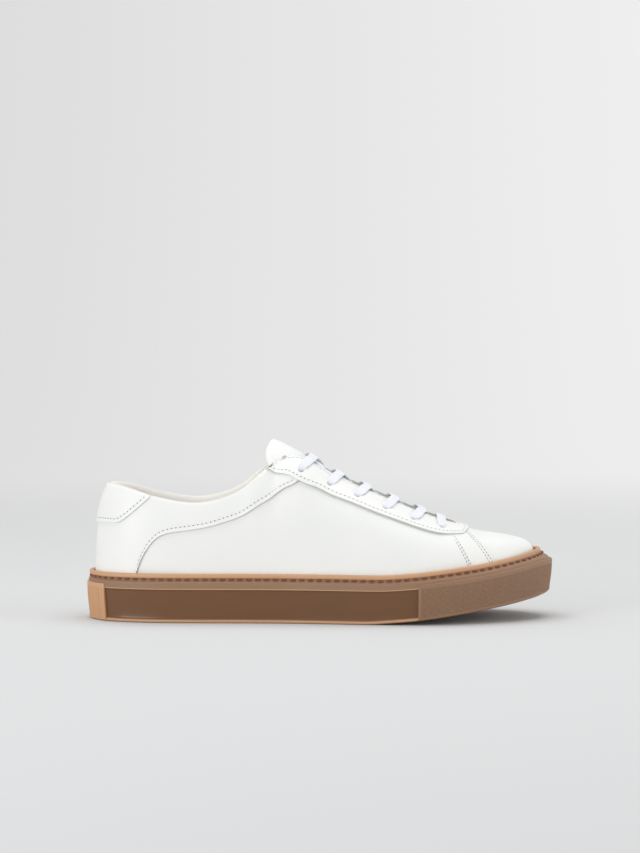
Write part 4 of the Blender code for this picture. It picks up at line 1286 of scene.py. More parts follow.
@dataclass
class CupSole:
    """The moulded gum rubber cup: wall, toe and heel bumpers, tread and the sidewall seam."""

    outsole: float = 4.5
    rim_lip: float = 2.2
    columns: int = 300
    panel_front: float = 62.0
    heel_cap: float = -138.0
    knurl_pitch: float = 1.8
    knurl_depth: float = 0.6
    tread_pitch: float = 4.2
    tread_depth: float = 1.3
    thread: Seam = Seam(pitch=5.6, length=4.1, radius=0.68, lift=0.25, sink=0.5, hole=0.0, sides=8)
    stitch_drop: float = 3.7

    def wall_places(self) -> Array:
        """Places round the outline, evenly spaced along it."""
        c = np.linspace(0.0, LOOP, 2401)
        ring, _ = LAST.outline(c)
        run = run_of(ring)
        return np.interp(np.linspace(0.0, run[-1], self.columns + 1)[:-1], run, c)

    def place_of_x(self, x: float, side: Side) -> float:
        """The place where the outline passes x on one side."""
        k = np.linspace(0.0, TOE, 1501)
        c = k if side is Side.LATERAL else LOOP - k
        ring, _ = LAST.outline(c)
        return float(np.interp(x, ring[:, 0], c))

    def ring(self, c: Array, inset: Array | float, height: Callable[[Array], Array]) -> Array:
        """Points of one ring of the cup.

        Args:
            c: places.
            inset: how far inside the widest outline.
            height: height from x.

        Returns:
            Points (n, 3).
        """
        spot, _ = LAST.outline(c, inset)
        return np.column_stack([spot, height(spot[:, 0])])

    def build(self) -> None:
        """Makes every piece of the sole."""
        self.wall()
        self.bumper("toe_bumper", self.place_of_x(self.panel_front, Side.LATERAL),
                    self.place_of_x(self.panel_front, Side.MEDIAL), 0.42, self.knurl, (GUM_MATT, GUM_GROOVE))
        heel = self.place_of_x(self.heel_cap, Side.LATERAL)
        self.bumper("heel_bumper", -heel, heel, 0.5, self.ribs, (GUM_RIM_AND_HIGHLIGHT, GUM_RIM_SHADE))
        self.tread()
        self.seam()
        self.footbed()

    def wall(self) -> None:
        """The cup itself, one closed loft of rings from under the sole, up the outside and down inside."""
        c = self.wall_places()
        row = LAST.rows(c)
        lip = row[:, 2] - self.rim_lip
        wall = row[:, 2]

        def low(lift: float) -> Callable[[Array], Array]:
            """A height this far above the ground line."""
            return lambda x: eased(GROUND_LINE, x) + lift

        def high(drop: float) -> Callable[[Array], Array]:
            """A height this far below the rim line."""
            return lambda x: eased(RIM_LINE, x) - drop

        def part(f: float) -> Callable[[Array], Array]:
            """The height at a fraction of the side panel, from its foot."""
            return lambda x: (eased(GROUND_LINE, x) + 2.6) * (1.0 - f) + (eased(RIM_LINE, x) - 10.5) * f

        matt, gloss, rim = 0, 1, 2
        # Rings from under the sole, up the outside and down inside: inset, height and slot. The rim-coloured
        # band on the ridge at the panel's top is a painted highlight.
        stages = (
            (5.8, low(2.4), matt), (5.6, low(0.6), matt), (5.0, low(0.15), matt), (3.0, low(0.0), matt),
            (2.45, low(0.15), matt), (2.15, low(0.5), rim), (1.95, low(1.0), rim), (1.9, low(1.9), matt),
            (2.15, low(2.2), matt), (2.65, low(2.45), gloss), (2.75, part(0.06), gloss),
            (2.6, part(0.22), gloss),
            (2.25, part(0.42), gloss), (1.85, part(0.6), gloss), (1.45, part(0.76), gloss),
            (1.15, part(0.9), gloss), (1.1, part(0.97), gloss), (0.85, high(10.35), gloss),
            (0.2, high(10.15), matt), (0.0, high(9.85), rim), (0.05, high(9.5), matt), (0.4, high(9.2), matt),
            (0.1 * lip + 0.45, high(8.6), matt), (0.16 * lip + 0.3, high(7.4), matt),
            (0.25 * lip + 0.25, high(6.3), matt), (0.34 * lip + 0.3, high(5.5), matt),
            (0.43 * lip + 0.55, high(5.1), matt), (0.53 * lip + 1.1, high(4.7), matt),
            (0.63 * lip + 1.2, high(4.2), matt), (0.73 * lip + 1.1, high(3.5), matt),
            (0.83 * lip + 0.85, high(3.05), matt), (0.93 * lip + 0.4, high(2.75), rim),
            (lip + 0.05, high(2.45), rim),
            (lip - 0.05, high(1.9), rim), (lip, high(1.1), rim), (lip + 0.25, high(0.5), rim),
            (lip + 0.65, high(0.12), rim), (lip + 1.15, high(0.0), rim), (lip + 1.7, high(0.1), rim),
            (wall + 0.5, high(0.6), matt), (wall + 0.5, high(6.0), matt),
            (wall + 0.1, low(self.outsole), matt),
        )
        rings = np.stack([self.ring(c, inset, height) for inset, height, _ in stages], axis=1)
        count, rows = rings.shape[:2]
        faces = Mesher.quads(count, rows, around=True)
        slots = [stages[j][2] for _ in range(count) for j in range(rows - 1)]
        for level, turn in ((0, -1), (rows - 1, 1)):
            for i in range(count // 2):
                face = [i * rows + level, (i + 1) * rows + level, (count - i - 1) % count * rows + level,
                        (count - i) % count * rows + level]
                faces.append(tuple(dict.fromkeys(face))[::turn])
                slots.append(matt)
        keep(Mesher.make("rubber_cup", rings, faces, (GUM_MATT, GUM_GLOSS, GUM_RIM_AND_HIGHLIGHT), slots), "cupsole",
             slot="gum_rubber")

    def knurl(self, along: Array, up: Array) -> Array:
        """Height of the diamond knurl, from 0 to 1, by distances along and up the wall."""
        a = (along + up) / self.knurl_pitch
        b = (along - up) / self.knurl_pitch
        crest = np.minimum(np.abs(a - np.round(a)), np.abs(b - np.round(b))) * 2.0
        return np.clip(crest * 1.25, 0.0, 1.0)

    def ribs(self, along: Array, up: Array) -> Array:
        """Height of the heel's fine upright ribs, from 0 to 1."""
        return 0.5 + 0.5 * np.cos(math.tau * along / 1.6)

    def bumper(
        self,
        name: str,
        first: float,
        last: float,
        step: float,
        pattern: Callable[[Array, Array], Array],
        finishes: tuple[Finish, Finish],
    ) -> None:
        """A raised slab on the wall, its field textured inside a smooth margin.

        Args:
            name: the piece's name.
            first: place of its first end.
            last: place of its other end.
            step: spacing of its grid.
            pattern: height of the texture.
            finishes: for the raised rubber, and for the bottom of the texture, darker as painted shade.
        """
        c = np.linspace(first, last, 1601)
        ring, _ = LAST.outline(c)
        run = run_of(ring)
        edge = np.array([0.0, 0.15, 0.4])
        inside = np.linspace(0.8, run[-1] - 0.8, int(run[-1] / step))
        along = np.concatenate([edge, inside, run[-1] - edge[::-1]])
        c = np.interp(along, run, c)
        ground = eased(GROUND_LINE, LAST.outline(c)[0][:, 0]) + 0.45
        top = eased(RIM_LINE, LAST.outline(c)[0][:, 0]) - 7.4
        tall = top - ground
        height = 22.0
        near = edge / height
        rows = np.concatenate([near, np.linspace(0.036, 0.964, int(height / step)), 1.0 - near[::-1]])
        up = tall[:, None] * rows[None, :]
        to_top, to_end = tall[:, None] - up, np.minimum(along, run[-1] - along)[:, None]
        base = 1.4 - 1.75 * ease(rows, -0.15, 0.8)[None, :] + 0.0 * up
        soften = 0.45 * np.exp(-np.minimum(np.minimum(up, to_top), to_end) / 0.22)
        field_mask = ease(up, 0.7, 1.2) * ease(to_top, 2.6, 3.4) * ease(to_end, 1.6, 2.2)
        texture = pattern(along[:, None] - 0.5 * run[-1] + 0.0 * up, up) - 1.0
        relief = self.knurl_depth * texture * field_mask
        inset = base + soften - relief
        cc = np.repeat(c, len(rows))
        z = (ground[:, None] + up).ravel()

        def face(shift: Array) -> Array:
            """Points of one of the bumper's faces, moved in by shift."""
            spot, _ = LAST.outline(cc, shift.ravel())
            return np.column_stack([spot, z]).reshape(len(c), len(rows), 3)

        piece = Mesher.shell(name, face(inset), face(base + 2.6), finishes)
        # The sunk faces of the texture take the darker finish: painted shade.
        sunk = (-relief > 0.5 * self.knurl_depth).ravel()
        for polygon in piece.data.polygons:
            if all(k < len(sunk) and sunk[k] for k in polygon.vertices):
                polygon.material_index = 1
        keep(piece, slot="gum_rubber")

    def across(self, inset: float, count: int, width: int) -> Array:
        """A grid (count, width, 2) of plan points inside the outline."""
        k = np.linspace(0.0, TOE, count)
        k = TOE * (0.5 - 0.5 * np.cos(math.pi * k / TOE)) * 0.35 + 0.65 * k
        outer, _ = LAST.outline(k, inset)
        inner, _ = LAST.outline(LOOP - k, inset)
        f = np.linspace(0.0, 1.0, width)[None, :, None]
        return outer[:, None] * (1.0 - f) + inner[:, None] * f

    def tread(self) -> None:
        """The sole's underside: herringbone ribs, a turning circle under the ball and a smooth border."""
        plan = self.across(3.2, 240, 84)
        x, y = plan[..., 0], plan[..., 1]
        fold = np.abs((y + 7.0) % 14.0 - 7.0)
        wave = ((x + fold) / self.tread_pitch) % 1.0
        circle = np.hypot(x - 72.0, y - 2.0)
        wave = np.where(circle < 24.0, (circle / self.tread_pitch) % 1.0, wave)
        groove = ease(np.abs(wave - 0.5), 0.24, 0.34)
        width = plan.shape[1]
        to_edge = np.minimum(np.arange(width), width - 1 - np.arange(width))[None, :] / width
        to_edge = to_edge * np.linalg.norm(plan[:, -1] - plan[:, 0], axis=1)[:, None]
        ends = np.minimum(x - x.min(), x.max() - x)
        groove = groove * ease(np.minimum(to_edge, ends), 4.0, 5.0)
        ground = eased(GROUND_LINE, x)
        bottom = np.dstack([x, y, ground + 0.02 + self.tread_depth * groove])
        keep(Mesher.shell("herringbone_tread", np.dstack([x, y, ground + 2.6]), bottom, (GUM_MATT,)),
             slot="gum_rubber")

    def seam(self) -> None:
        """The thick waxed thread in the channel round the rim."""
        c = np.append(self.wall_places(), LOOP)
        lip = LAST.rows(c)[:, 2] - self.rim_lip
        _, out = LAST.outline(c)
        line = self.ring(c, 0.66 * lip + 0.9, lambda x: eased(RIM_LINE, x) - self.stitch_drop)
        outwards = np.column_stack([out, np.full(len(c), 0.25)])
        thread = self.thread.sew("sidewall_stitches", [(line, unit(outwards))], SOLE_THREAD, NEEDLE_HOLE_SHADE)
        Mesher.subdivide(thread, 1)
        keep(thread, "sole_stitching", slot="dark_thread")

    def footbed(self) -> None:
        """The leather-faced footbed, cupped at the heel and a little raised under the arch."""
        plan = self.across(11.4, 90, 31)
        x, y = plan[..., 0], plan[..., 1]
        f = np.linspace(-1.0, 1.0, plan.shape[1])[None, :]
        level = eased(SEAT_LINE, x) + 8.6
        rise = 3.2 * np.abs(f) ** 4 * (1.0 - 0.6 * ease(x, 0.0, 90.0))
        arch = 3.0 * ease(f, 0.2, 1.0) * np.exp(-(((x + 22.0) / 34.0) ** 2))
        heel = 2.6 * np.exp(-(x - x.min()) / 9.0)
        top = np.dstack([x, y, level + rise + arch + heel])
        edge = np.minimum(1.0 - np.abs(f), (x - x.min()) / 30.0)
        top[..., 2] -= 0.8 * np.exp(-np.maximum(edge, 0.0) / 0.02)
        bottom = np.dstack([x, y, eased(SEAT_LINE, x) + 4.2])
        bed = Mesher.shell("leather_footbed", top, bottom, (FOOTBED_LEATHER,), flip=True)
        Mesher.subdivide(bed, 1)
        keep(bed, "footbed", slot="footbed_cloth")


# ------------------------------------------------------------------ upper


@dataclass
class Upper:
    """The leather upper: vamp, quarters, collars, heel tab, back strip and facing."""

    lacing: Lacing
    leather: float = 1.2
    overlay: float = 1.35
    tab_rise: float = 2.35
    facing_rise: float = 1.75
    hole_radius: float = 2.0
    collar_edge: tuple[tuple[float, float], ...] = (
        (-120.5, 19.0),
        (-117.2, 31.6),
        (-113.8, 40.6),
        (-110.6, 46.5),
        (-107.4, 50.8),
        (-104.3, 53.7),
        (-101.1, 55.6),
        (-94.8, 57.4),
        (-82.2, 59.1),
        (-69.5, 61.5),
        (-56.9, 65.4),
        (-44.2, 71.5),
        (-31.6, 79.3),
        (-19.0, 87.4),
        (-13.0, 91.3),
    )

    def build(self) -> None:
        """Makes every leather piece and its stitching."""
        self.vamp()
        for side in Side:
            self.quarter(side)
            self.collar(side)
        self.heel_tab()
        self.back_strip()
        self.facing()

    def punch(self, obj: bpy.types.Object, sides: Sequence[Side]) -> None:
        """Cuts the lace holes through a piece, after the modifiers it has.

        Args:
            obj: the piece, which ends with its modifiers applied.
            sides: the sides to cut on.
        """
        Mesher.apply(obj)
        bm = bmesh.new()
        for side in sides:
            for row, x in enumerate(self.lacing.hole_x):
                place = LAST.at_top([(x, self.lacing.hole_side(row, side.value))], side)
                spot, out = LAST.skin(place)[0], LAST.directions(place)[0]
                turn = Vector(out).to_track_quat("Z", "Y").to_matrix().to_4x4()
                turn.translation = Vector(spot) * MM
                bmesh.ops.create_cone(
                    bm,
                    cap_ends=True,
                    segments=20,
                    radius1=self.hole_radius * MM,
                    radius2=self.hole_radius * MM,
                    depth=12.0 * MM,
                    matrix=turn,
                )
        mesh = bpy.data.meshes.new("lace_hole_punches")
        bm.to_mesh(mesh)
        bm.free()
        cutter = bpy.data.objects.new("lace_hole_punches", mesh)
        bpy.context.scene.collection.objects.link(cutter)
        cut = obj.modifiers.new("holes", "BOOLEAN")
        cut.operation = "DIFFERENCE"
        cut.solver = "EXACT"
        cut.object = cutter
        Mesher.apply(obj)
        bpy.data.objects.remove(cutter)
        obj.data.shade_smooth()
        obj.data.set_sharp_from_angle(angle=SHARP_EDGE)

    def vamp(self) -> None:
        """The toe leather, from under the quarters over the ridge to the toe."""
        rise = np.concatenate([np.linspace(0.0, 0.9, 20), np.linspace(0.92, 1.0, 6)])
        rear = spline([(0.0, 12.35), (0.35, 11.95), (0.6, 11.65), (0.8, 11.4), (0.93, 11.33), (1.0, 11.42)],
                      np.interp(rise, (0.0, 0.35, 0.6, 0.8, 0.93, 1.0), np.arange(6.0)))[:, 1]
        f = np.linspace(0.0, 1.0, 46)
        c = rear[:, None] + (TOE - rear[:, None]) * f[None, :]
        v = np.repeat(rise[:, None], len(f), axis=1)
        lateral = np.dstack([c, v])
        medial = np.dstack([LOOP - c, v])[::-1][1:]
        points = LAST.skin(np.concatenate([lateral, medial]), 0.0)
        vamp = Mesher.sheet("toe_vamp", points, (UPPER_LEATHER, CUT_EDGE_AND_SHADE), flip=True)
        Mesher.leather_stack(vamp, self.leather)
        keep(vamp, "vamp", slot="white_leather")

    def quarter(self, side: Side) -> None:
        """One side panel, lapped over the vamp in front and under the collar piece behind."""
        name = side.name.lower()
        hem = [(-126.0, 22.0), (-96.0, 20.0), (-50.0, 19.0), (0.0, 18.0), (50.0, 18.5), (86.0, 20.5),
               (103.0, 22.5), (117.8, 24.0)]
        low = LAST.at_side(hem, side)
        back = LAST.at_side([(-118.0, 58.0), (-92.0, 66.0), (-58.0, 75.0)], side)
        top = instep(side, [(-22.0, 17.8), (30.0, 14.9), (64.0, 13.0), (78.5, 12.2), (91.5, 9.0)])
        end_rows = (0.0, 0.5, 1.0, 1.6, 2.3, 3.0, 3.7, 4.6, 6.0, 10.0, 14.0, 16.4, 17.3, 18.2, 19.1, 20.0,
                    21.2)
        patch = Patch(low, np.vstack([back, top]), 3.0, PLAIN_ROWS, PLAIN_ROWS, PLAIN_ROWS, end_rows)
        lap = 0.95 * (1.0 - ease(patch.to_end, 13.0, 30.0))
        dips = seam_dip(patch.to_end, 1.6, 0.12) + seam_dip(patch.to_end, 3.6, 0.12)
        dips = dips + seam_dip(patch.to_end, 17.3, 0.12) + seam_dip(patch.to_end, 19.3, 0.12)
        depth = lap + dips
        flip = side is Side.MEDIAL
        points = LAST.skin(patch.places, depth)
        piece = Mesher.sheet(f"{name}_side_quarter", points, (UPPER_LEATHER, CUT_EDGE_AND_SHADE), flip)
        Mesher.leather_stack(piece, self.leather)
        self.punch(piece, (side,))
        keep(piece, f"{name}_quarter", slot="white_leather")
        lines = []
        for distance in (1.6, 3.6, 17.3, 19.3):
            line = patch.line("end", distance)
            lines.append(on_leather(line, 0.95 * (1.0 - float(ease(distance, 13.0, 30.0))) - 0.06))
        front = Seam(pitch=2.3, length=1.6)
        keep(front.sew(f"{name}_front_seams", lines, UPPER_THREAD, NEEDLE_HOLE_SHADE))

    def collar(self, side: Side) -> None:
        """One collar piece, from the back strip along the topline to the facing."""
        name = side.name.lower()
        sign, base = (1.0, 0.0) if side is Side.LATERAL else (-1.0, float(LOOP))
        foot = [(base + sign * 0.36, 0.0), (base + sign * 1.2, 0.02), (base + sign * 2.0, 0.04)]
        crown = [(base + sign * 0.36, 1.0), (base + sign * 1.2, 1.0), (base + sign * 2.0, 1.0)]
        low = np.vstack([foot, LAST.at_side(self.collar_edge, side, self.overlay)])
        topline = [2.35, 2.5, 2.65, 2.8, 2.95, 3.1, 3.25, 3.45, 3.85, 4.3, 4.8, 5.25, 5.65, 5.95, 6.1]
        high = np.vstack([crown, [(base + sign * c, 1.0) for c in topline]])
        patch = Patch(low, high, 2.6, EDGE_ROWS, (0.0, 0.4, 1.0, 1.8, 3.0), (0.0, 0.5, 1.2, 2.0), PLAIN_ROWS)
        on_edge = ease(patch.places[..., 0] * sign + (0.0 if sign > 0 else LOOP), 2.2, 2.6)
        depth = self.overlay + seam_dip(patch.to_low) * on_edge
        depth = depth - 0.5 * np.exp(-((patch.to_high / 1.0) ** 2))
        depth = depth + 0.15 * np.exp(-((patch.to_low / 1.5) ** 2))
        flip = side is Side.MEDIAL
        points = LAST.skin(patch.places, depth)
        piece = Mesher.sheet(f"{name}_collar_piece", points, (UPPER_LEATHER, CUT_EDGE_AND_SHADE), flip)
        Mesher.leather_stack(piece, self.overlay - 0.25, 0.25)
        keep(piece, f"{name}_collar", slot="white_leather")
        line = patch.line("low", STITCH_MARGIN)
        line = line[LAST.skin(line)[:, 2] > 30.0]
        line = line[LAST.skin(line)[:, 0] > -117.0]
        lines = [on_leather(line, self.overlay - 0.1)]
        keep(UPPER_SEAM.sew(f"{name}_collar_seam", lines, UPPER_THREAD, NEEDLE_HOLE_SHADE))

    def heel_tab(self) -> None:
        """The tab over the top of the heel."""
        edge = [(-108.6, 79.6), (-115.0, 73.9), (-121.5, 68.4), (-126.5, 64.6), (-129.5, 63.2),
                (-133.5, 62.9)]
        half = LAST.at_side(edge, Side.LATERAL, self.tab_rise)
        other = LAST.at_side(edge, Side.MEDIAL, self.tab_rise)
        other[:, 0] -= LOOP
        middle = LAST.at_side([(-140.2, 62.9)], Side.LATERAL)
        back = (0.0, float(middle[0, 1]) - 0.012)
        low = np.vstack([other, [(-0.55, back[1])], [back], [(0.55, back[1])], half[::-1]])
        reach = [2.8, 2.35, 1.85, 1.4, 1.15, 0.9, 0.45]
        high = np.array([(-k, 1.0) for k in reach] + [(0.0, 1.0)] + [(k, 1.0) for k in reversed(reach)])
        patch = Patch(low, high, 2.2, EDGE_ROWS, (0.0, 0.4, 1.0, 1.8, 3.0), PLAIN_ROWS, PLAIN_ROWS)
        depth = self.tab_rise + seam_dip(patch.to_low) - 0.6 * np.exp(-((patch.to_high / 1.0) ** 2))
        piece = Mesher.sheet("heel_tab_piece", LAST.skin(patch.places, depth), (UPPER_LEATHER, CUT_EDGE_AND_SHADE))
        Mesher.leather_stack(piece, 1.0, 0.25)
        keep(piece, "heel_tab", slot="white_leather")
        line = patch.line("low", STITCH_MARGIN)[2:-2]
        lines = [on_leather(line, self.tab_rise - 0.1)]
        keep(UPPER_SEAM.sew("heel_tab_seam", lines, UPPER_THREAD, NEEDLE_HOLE_SHADE))

    def back_strip(self) -> None:
        """The strip that covers the back seam between the two collar pieces."""
        v = np.linspace(0.02, 0.86, 44)
        c = np.linspace(-0.6, 0.6, 17)
        places = np.dstack(np.meshgrid(c, v, indexing="ij"))
        piece = Mesher.sheet("back_strip", LAST.skin(places, 0.35), (UPPER_LEATHER, CUT_EDGE_AND_SHADE))
        Mesher.leather_stack(piece, self.leather)
        keep(piece, "backstay", slot="white_leather")

    def facing_depth(self, x: Array) -> Array:
        """How far the facing lies outside the base leather: more at its rear, over the collar pieces."""
        return self.facing_rise + 0.75 * (1.0 - ease(x, -26.0, -8.0))

    def facing(self) -> None:
        """The U-shaped facing that carries the lace holes."""
        halves_low, halves_high = [], []
        for side in Side:
            edge = np.array([(-33.5, 98.6), (-24.0, 94.9), (-12.6, 90.4), (3.0, 84.1), (19.0, 77.6),
                             (35.0, 71.3), (50.5, 65.7), (64.0, 61.0), (71.0, 58.9), (77.0, 57.6),
                             (83.0, 57.0), (88.0, 56.8), (92.0, 56.9)])
            low = LAST.at_side(edge, side, self.facing_depth(edge[:, 0]))
            nose = LAST.at_top([(94.2, 12.5), (95.2, 6.5)], side)
            high = instep(side, [(-21.5, 17.0), (-17.0, 16.8), (-7.0, 16.2), (6.0, 15.4), (20.0, 14.7),
                                 (35.0, 14.0), (50.0, 13.2), (63.0, 12.4), (70.0, 11.9), (75.5, 11.3),
                                 (80.0, 10.0), (83.6, 7.9), (85.8, 5.5), (87.1, 3.2), (87.5, 1.5)])
            halves_low.append(np.vstack([low, nose]))
            halves_high.append(high)
        centre_low = LAST.at_top([(95.5, 0.02)], Side.LATERAL)
        centre_high = LAST.at_top([(87.6, 0.02)], Side.LATERAL)
        patches, faces = [], []
        for side, low, high in zip(Side, halves_low, halves_high):
            end_low, end_high = centre_low.copy(), centre_high.copy()
            if side is Side.MEDIAL:
                end_low[:, 0], end_high[:, 0] = LOOP - end_low[:, 0], LOOP - end_high[:, 0]
            patch = Patch(np.vstack([low, end_low]), np.vstack([high, end_high]), 2.4, EDGE_ROWS, EDGE_ROWS,
                          EDGE_ROWS, (0.0,), middle=5)
            depth = self.facing_depth(LAST.skin(patch.places)[..., 0])
            depth = depth + seam_dip(patch.to_low, STITCH_MARGIN, 0.1)
            depth = depth + seam_dip(patch.to_high, STITCH_MARGIN, 0.1)
            patches.append(patch)
            faces.append(LAST.skin(patch.places, depth))
        lateral, medial = faces
        whole = np.concatenate([lateral, medial[::-1][1:]])
        whole[len(lateral) - 1, :, 1] = 0.0
        piece = Mesher.sheet("lace_facing", whole, (UPPER_LEATHER, CUT_EDGE_AND_SHADE))
        Mesher.leather_stack(piece, 1.45, 0.25)
        self.punch(piece, tuple(Side))
        keep(piece, "eyestay", slot="white_leather")
        lines = []
        for patch in patches:
            for edge in ("low", "high"):
                line = patch.line(edge, STITCH_MARGIN)[3:]
                lines.append(on_leather(line, self.facing_depth(LAST.skin(line)[:, 0]) - 0.06))
            for distance in (1.3, 3.2):
                lines.append(on_leather(patch.line("start", distance), self.facing_rise - 0.06 + 0.75))
        keep(UPPER_SEAM.sew("facing_seams", lines, UPPER_THREAD, NEEDLE_HOLE_SHADE))


# ------------------------------------------------------------------ inside of the shoe


@dataclass
class Inside:
    """The padded collar and the linings."""

    # The padded collar's section from the footbed up and over the edge: (v, depth).
    section: tuple[tuple[float, float], ...] = (
        (0.06, -3.4),
        (0.3, -3.6),
        (0.5, -4.3),
        (0.64, -6.2),
        (0.76, -8.3),
        (0.86, -9.0),
        (0.94, -8.2),
        (0.985, -6.3),
        (1.01, -4.2),
        (1.017, -2.2),
        (1.012, -0.4),
        (1.004, 0.9),
    )
    flat: float = -2.4
    reach: float = 6.35

    def padding(self, c: Array) -> Array:
        """How full the padding is at places counted from the heel."""
        return 1.0 - 0.62 * ease(np.abs(c), 4.0, 6.2)

    def build(self) -> None:
        """Makes the padded collar and the two quarter linings."""
        c = np.linspace(-self.reach, self.reach, 121)
        t = np.linspace(0.0, len(self.section) - 1, 41)
        v, depth = spline(self.section, t).T
        vv, cc = np.broadcast_to(v, (len(c), len(v))), np.repeat(c[:, None], len(v), axis=1)
        full = self.padding(cc)
        sunk = depth[None, :]
        thick = np.where(sunk < self.flat, self.flat + (sunk - self.flat) * full, sunk)
        seam = 0.5 * np.exp(-(((vv - 0.53) / 0.018) ** 2))
        face = LAST.skin(np.dstack([cc, vv]), thick + seam)
        back_v = np.minimum(vv, 0.997)
        back_depth = np.where(np.arange(len(v)) > len(v) - 5, 0.6, -1.25)[None, :]
        back = LAST.skin(np.dstack([cc, back_v]), back_depth)
        pad = Mesher.shell("padded_collar", back, face, (LINING_LEATHER,))
        Mesher.subdivide(pad, 1)
        keep(pad, "collar_lining", "collar_foam", slot="lining_leather")
        line = np.column_stack([c[4:-4], np.full(len(c) - 8, 0.53)])
        points = LAST.skin(line, self.flat + (-4.6 - self.flat) * self.padding(line[:, 0]) + 0.35)
        lines = [(points, -LAST.directions(line))]
        keep(UPPER_SEAM.sew("collar_lining_seam", lines, UPPER_THREAD, NEEDLE_HOLE_SHADE))
        for side in Side:
            name = side.name.lower()
            hem = [(-42.0, 22.0), (-10.0, 21.0), (30.0, 20.0), (70.0, 23.0), (108.0, 27.0)]
            low = LAST.at_side(hem, side)
            top = instep(side, [(-22.5, 18.4), (2.0, 16.6), (34.0, 14.8), (66.0, 13.0), (86.0, 8.5)])
            patch = Patch(low, top, 4.0, PLAIN_ROWS, PLAIN_ROWS)
            points = LAST.skin(patch.places, -2.5)
            lining = Mesher.sheet(f"{name}_side_lining", points, (LINING_LEATHER,), side is Side.MEDIAL)
            Mesher.leather_stack(lining, 0.8, 0.15)
            keep(lining, f"{name}_quarter_lining", slot="lining_leather")


# ------------------------------------------------------------------ studio


Place = tuple[float, float, float]
SHOE_MIDDLE: Place = (0.0, 0.0, 0.05)
SHOE_BACK: Place = (-0.05, 0.0, 0.05)


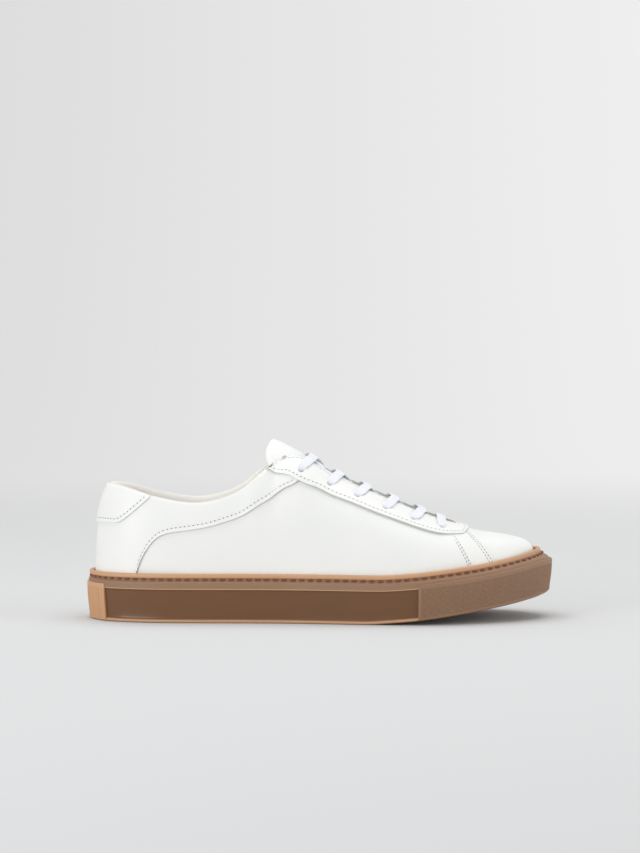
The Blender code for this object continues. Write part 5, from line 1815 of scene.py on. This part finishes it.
@dataclass
class Studio:
    """A pale seamless sweep, soft light from above and the camera, in metres and degrees."""

    distance: float = 1.994
    height: float = 0.219
    pitch: float = 2.75
    lens: float = 130.6
    paper: str = "#d9d9d9"
    backdrop_glow_left: str = "#dcdcdc"
    backdrop_glow_right: str = "#f0f0f0"

    def camera(self) -> None:
        """Places the camera level with the shoe's side, a little above it."""
        data = bpy.data.cameras.new("side_camera")
        data.lens = self.lens
        data.sensor_width = 36.0
        camera = bpy.data.objects.new("side_camera", data)
        camera.location = (0.0, -self.distance, self.height)
        camera.rotation_euler = (math.radians(90.0 - self.pitch), 0.0, 0.0)
        bpy.context.scene.collection.objects.link(camera)
        bpy.context.scene.camera = camera

    def sweep(self) -> None:
        """A floor that curves up into a backdrop behind the shoe, which glows with painted light, brighter to
        the right.
        """
        radius, depth, width, tall = 1.2, 1.6, 4.0, 3.0
        line = [(-4.0, 0.0), (0.0, 0.0), (depth, 0.0)]
        for k in range(1, 17):
            angle = 0.5 * math.pi * k / 16
            line.append((depth + radius * math.sin(angle), radius * (1.0 - math.cos(angle))))
        line.append((depth + radius, tall))
        mesh = bpy.data.meshes.new("seamless_sweep")
        points = [(side, y, z) for y, z in line for side in (-width, width)]
        faces = [(2 * i, 2 * i + 1, 2 * i + 3, 2 * i + 2) for i in range(len(line) - 1)]
        mesh.from_pydata(points, [], faces)
        mesh.shade_smooth()
        floor = bpy.data.objects.new("seamless_sweep", mesh)
        bpy.context.scene.collection.objects.link(floor)
        made = bpy.data.materials.new("paper_sweep_with_painted_glow")
        made.use_nodes = True
        tree = made.node_tree
        shader = tree.nodes["Principled BSDF"]
        shader.inputs["Roughness"].default_value = 1.0
        shader.inputs["Specular IOR Level"].default_value = 0.0
        # Painted light: from 0.25 m to 1.5 m behind the shoe the paper's colour fades to black and a glow
        # fades in, brighter from left to right.
        where = add_node(tree, "SeparateXYZ", None, Vector=add_node(tree, "TexCoord").outputs["Object"])
        back = add_node(tree, "MapRange", {"interpolation_type": "SMOOTHSTEP"}, Value=where.outputs["Y"],
                        From_Min=0.25, From_Max=1.5)
        across = add_node(tree, "MapRange", None, Value=where.outputs["X"], From_Min=-0.55, From_Max=0.55)
        painted_glow = add_node(tree, "Mix", {"data_type": "RGBA"}, Factor=across.outputs["Result"],
                        A=linear(self.backdrop_glow_left), B=linear(self.backdrop_glow_right))
        paper = add_node(tree, "Mix", {"data_type": "RGBA"}, Factor=back.outputs["Result"],
                         A=linear(self.paper), B=(0.0, 0.0, 0.0, 1.0))
        tree.links.new(paper.outputs["Result"], shader.inputs["Base Color"])
        tree.links.new(painted_glow.outputs["Result"], shader.inputs["Emission Color"])
        tree.links.new(back.outputs["Result"], shader.inputs["Emission Strength"])
        mesh.materials.append(made)

    @staticmethod
    def softbox(name: str, place: Place, aim: Place, size: float, power: float) -> None:
        """A square soft light.

        Args:
            name: the light's name.
            place: where it stands, in metres.
            aim: the point it faces.
            size: its side, in metres.
            power: in watts.
        """
        data = bpy.data.lights.new(name, "AREA")
        data.energy = power
        data.size = size
        light = bpy.data.objects.new(name, data)
        light.location = place
        light.rotation_euler = (Vector(aim) - Vector(place)).to_track_quat("-Z", "Y").to_euler()
        bpy.context.scene.collection.objects.link(light)

    def build(self) -> None:
        """Sets up the camera, the sweep and the lights."""
        self.camera()
        self.sweep()
        bpy.context.scene.view_settings.view_transform = "Standard"
        self.softbox("overhead_softbox", (0.0, 0.1, 1.7), SHOE_MIDDLE, 1.6, 16.0)
        self.softbox("heel_side_softbox", (-1.35, -1.45, 0.4), SHOE_BACK, 1.0, 17.0)
        self.softbox("toe_side_fill", (1.9, -0.5, 0.5), SHOE_MIDDLE, 1.0, 11.0)
        world = bpy.data.worlds.new("soft_room")
        world.use_nodes = True
        background = world.node_tree.nodes["Background"]
        background.inputs["Color"].default_value = linear("#f2f4f6")
        background.inputs["Strength"].default_value = 0.56
        bpy.context.scene.world = world


# ------------------------------------------------------------------ assembly


def dress_carried_nodes(frame: dict) -> None:
    """Gives each CAD node its slot's finish.
    """
    for name, node in frame["nodes"].items():
        for slot in node.material_slots:
            base = slot.material.name.split(".")[0]
            finish = CARRIED_FINISHES.get(base)
            if finish is None:
                LOG.warning("%s: no finish for %s", name, base)
                continue
            slot.material = finish.build()


def main() -> None:
    """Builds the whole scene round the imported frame."""
    logging.basicConfig(level=logging.INFO, format="%(message)s")
    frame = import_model()
    dress_carried_nodes(frame)
    Studio().build()
    tongue = Tongue()
    lacing = Lacing()
    lacing.build(tongue)
    tongue.build()
    CupSole().build()
    Upper(lacing).build()
    Inside().build()


if __name__ == "__main__":
    main()
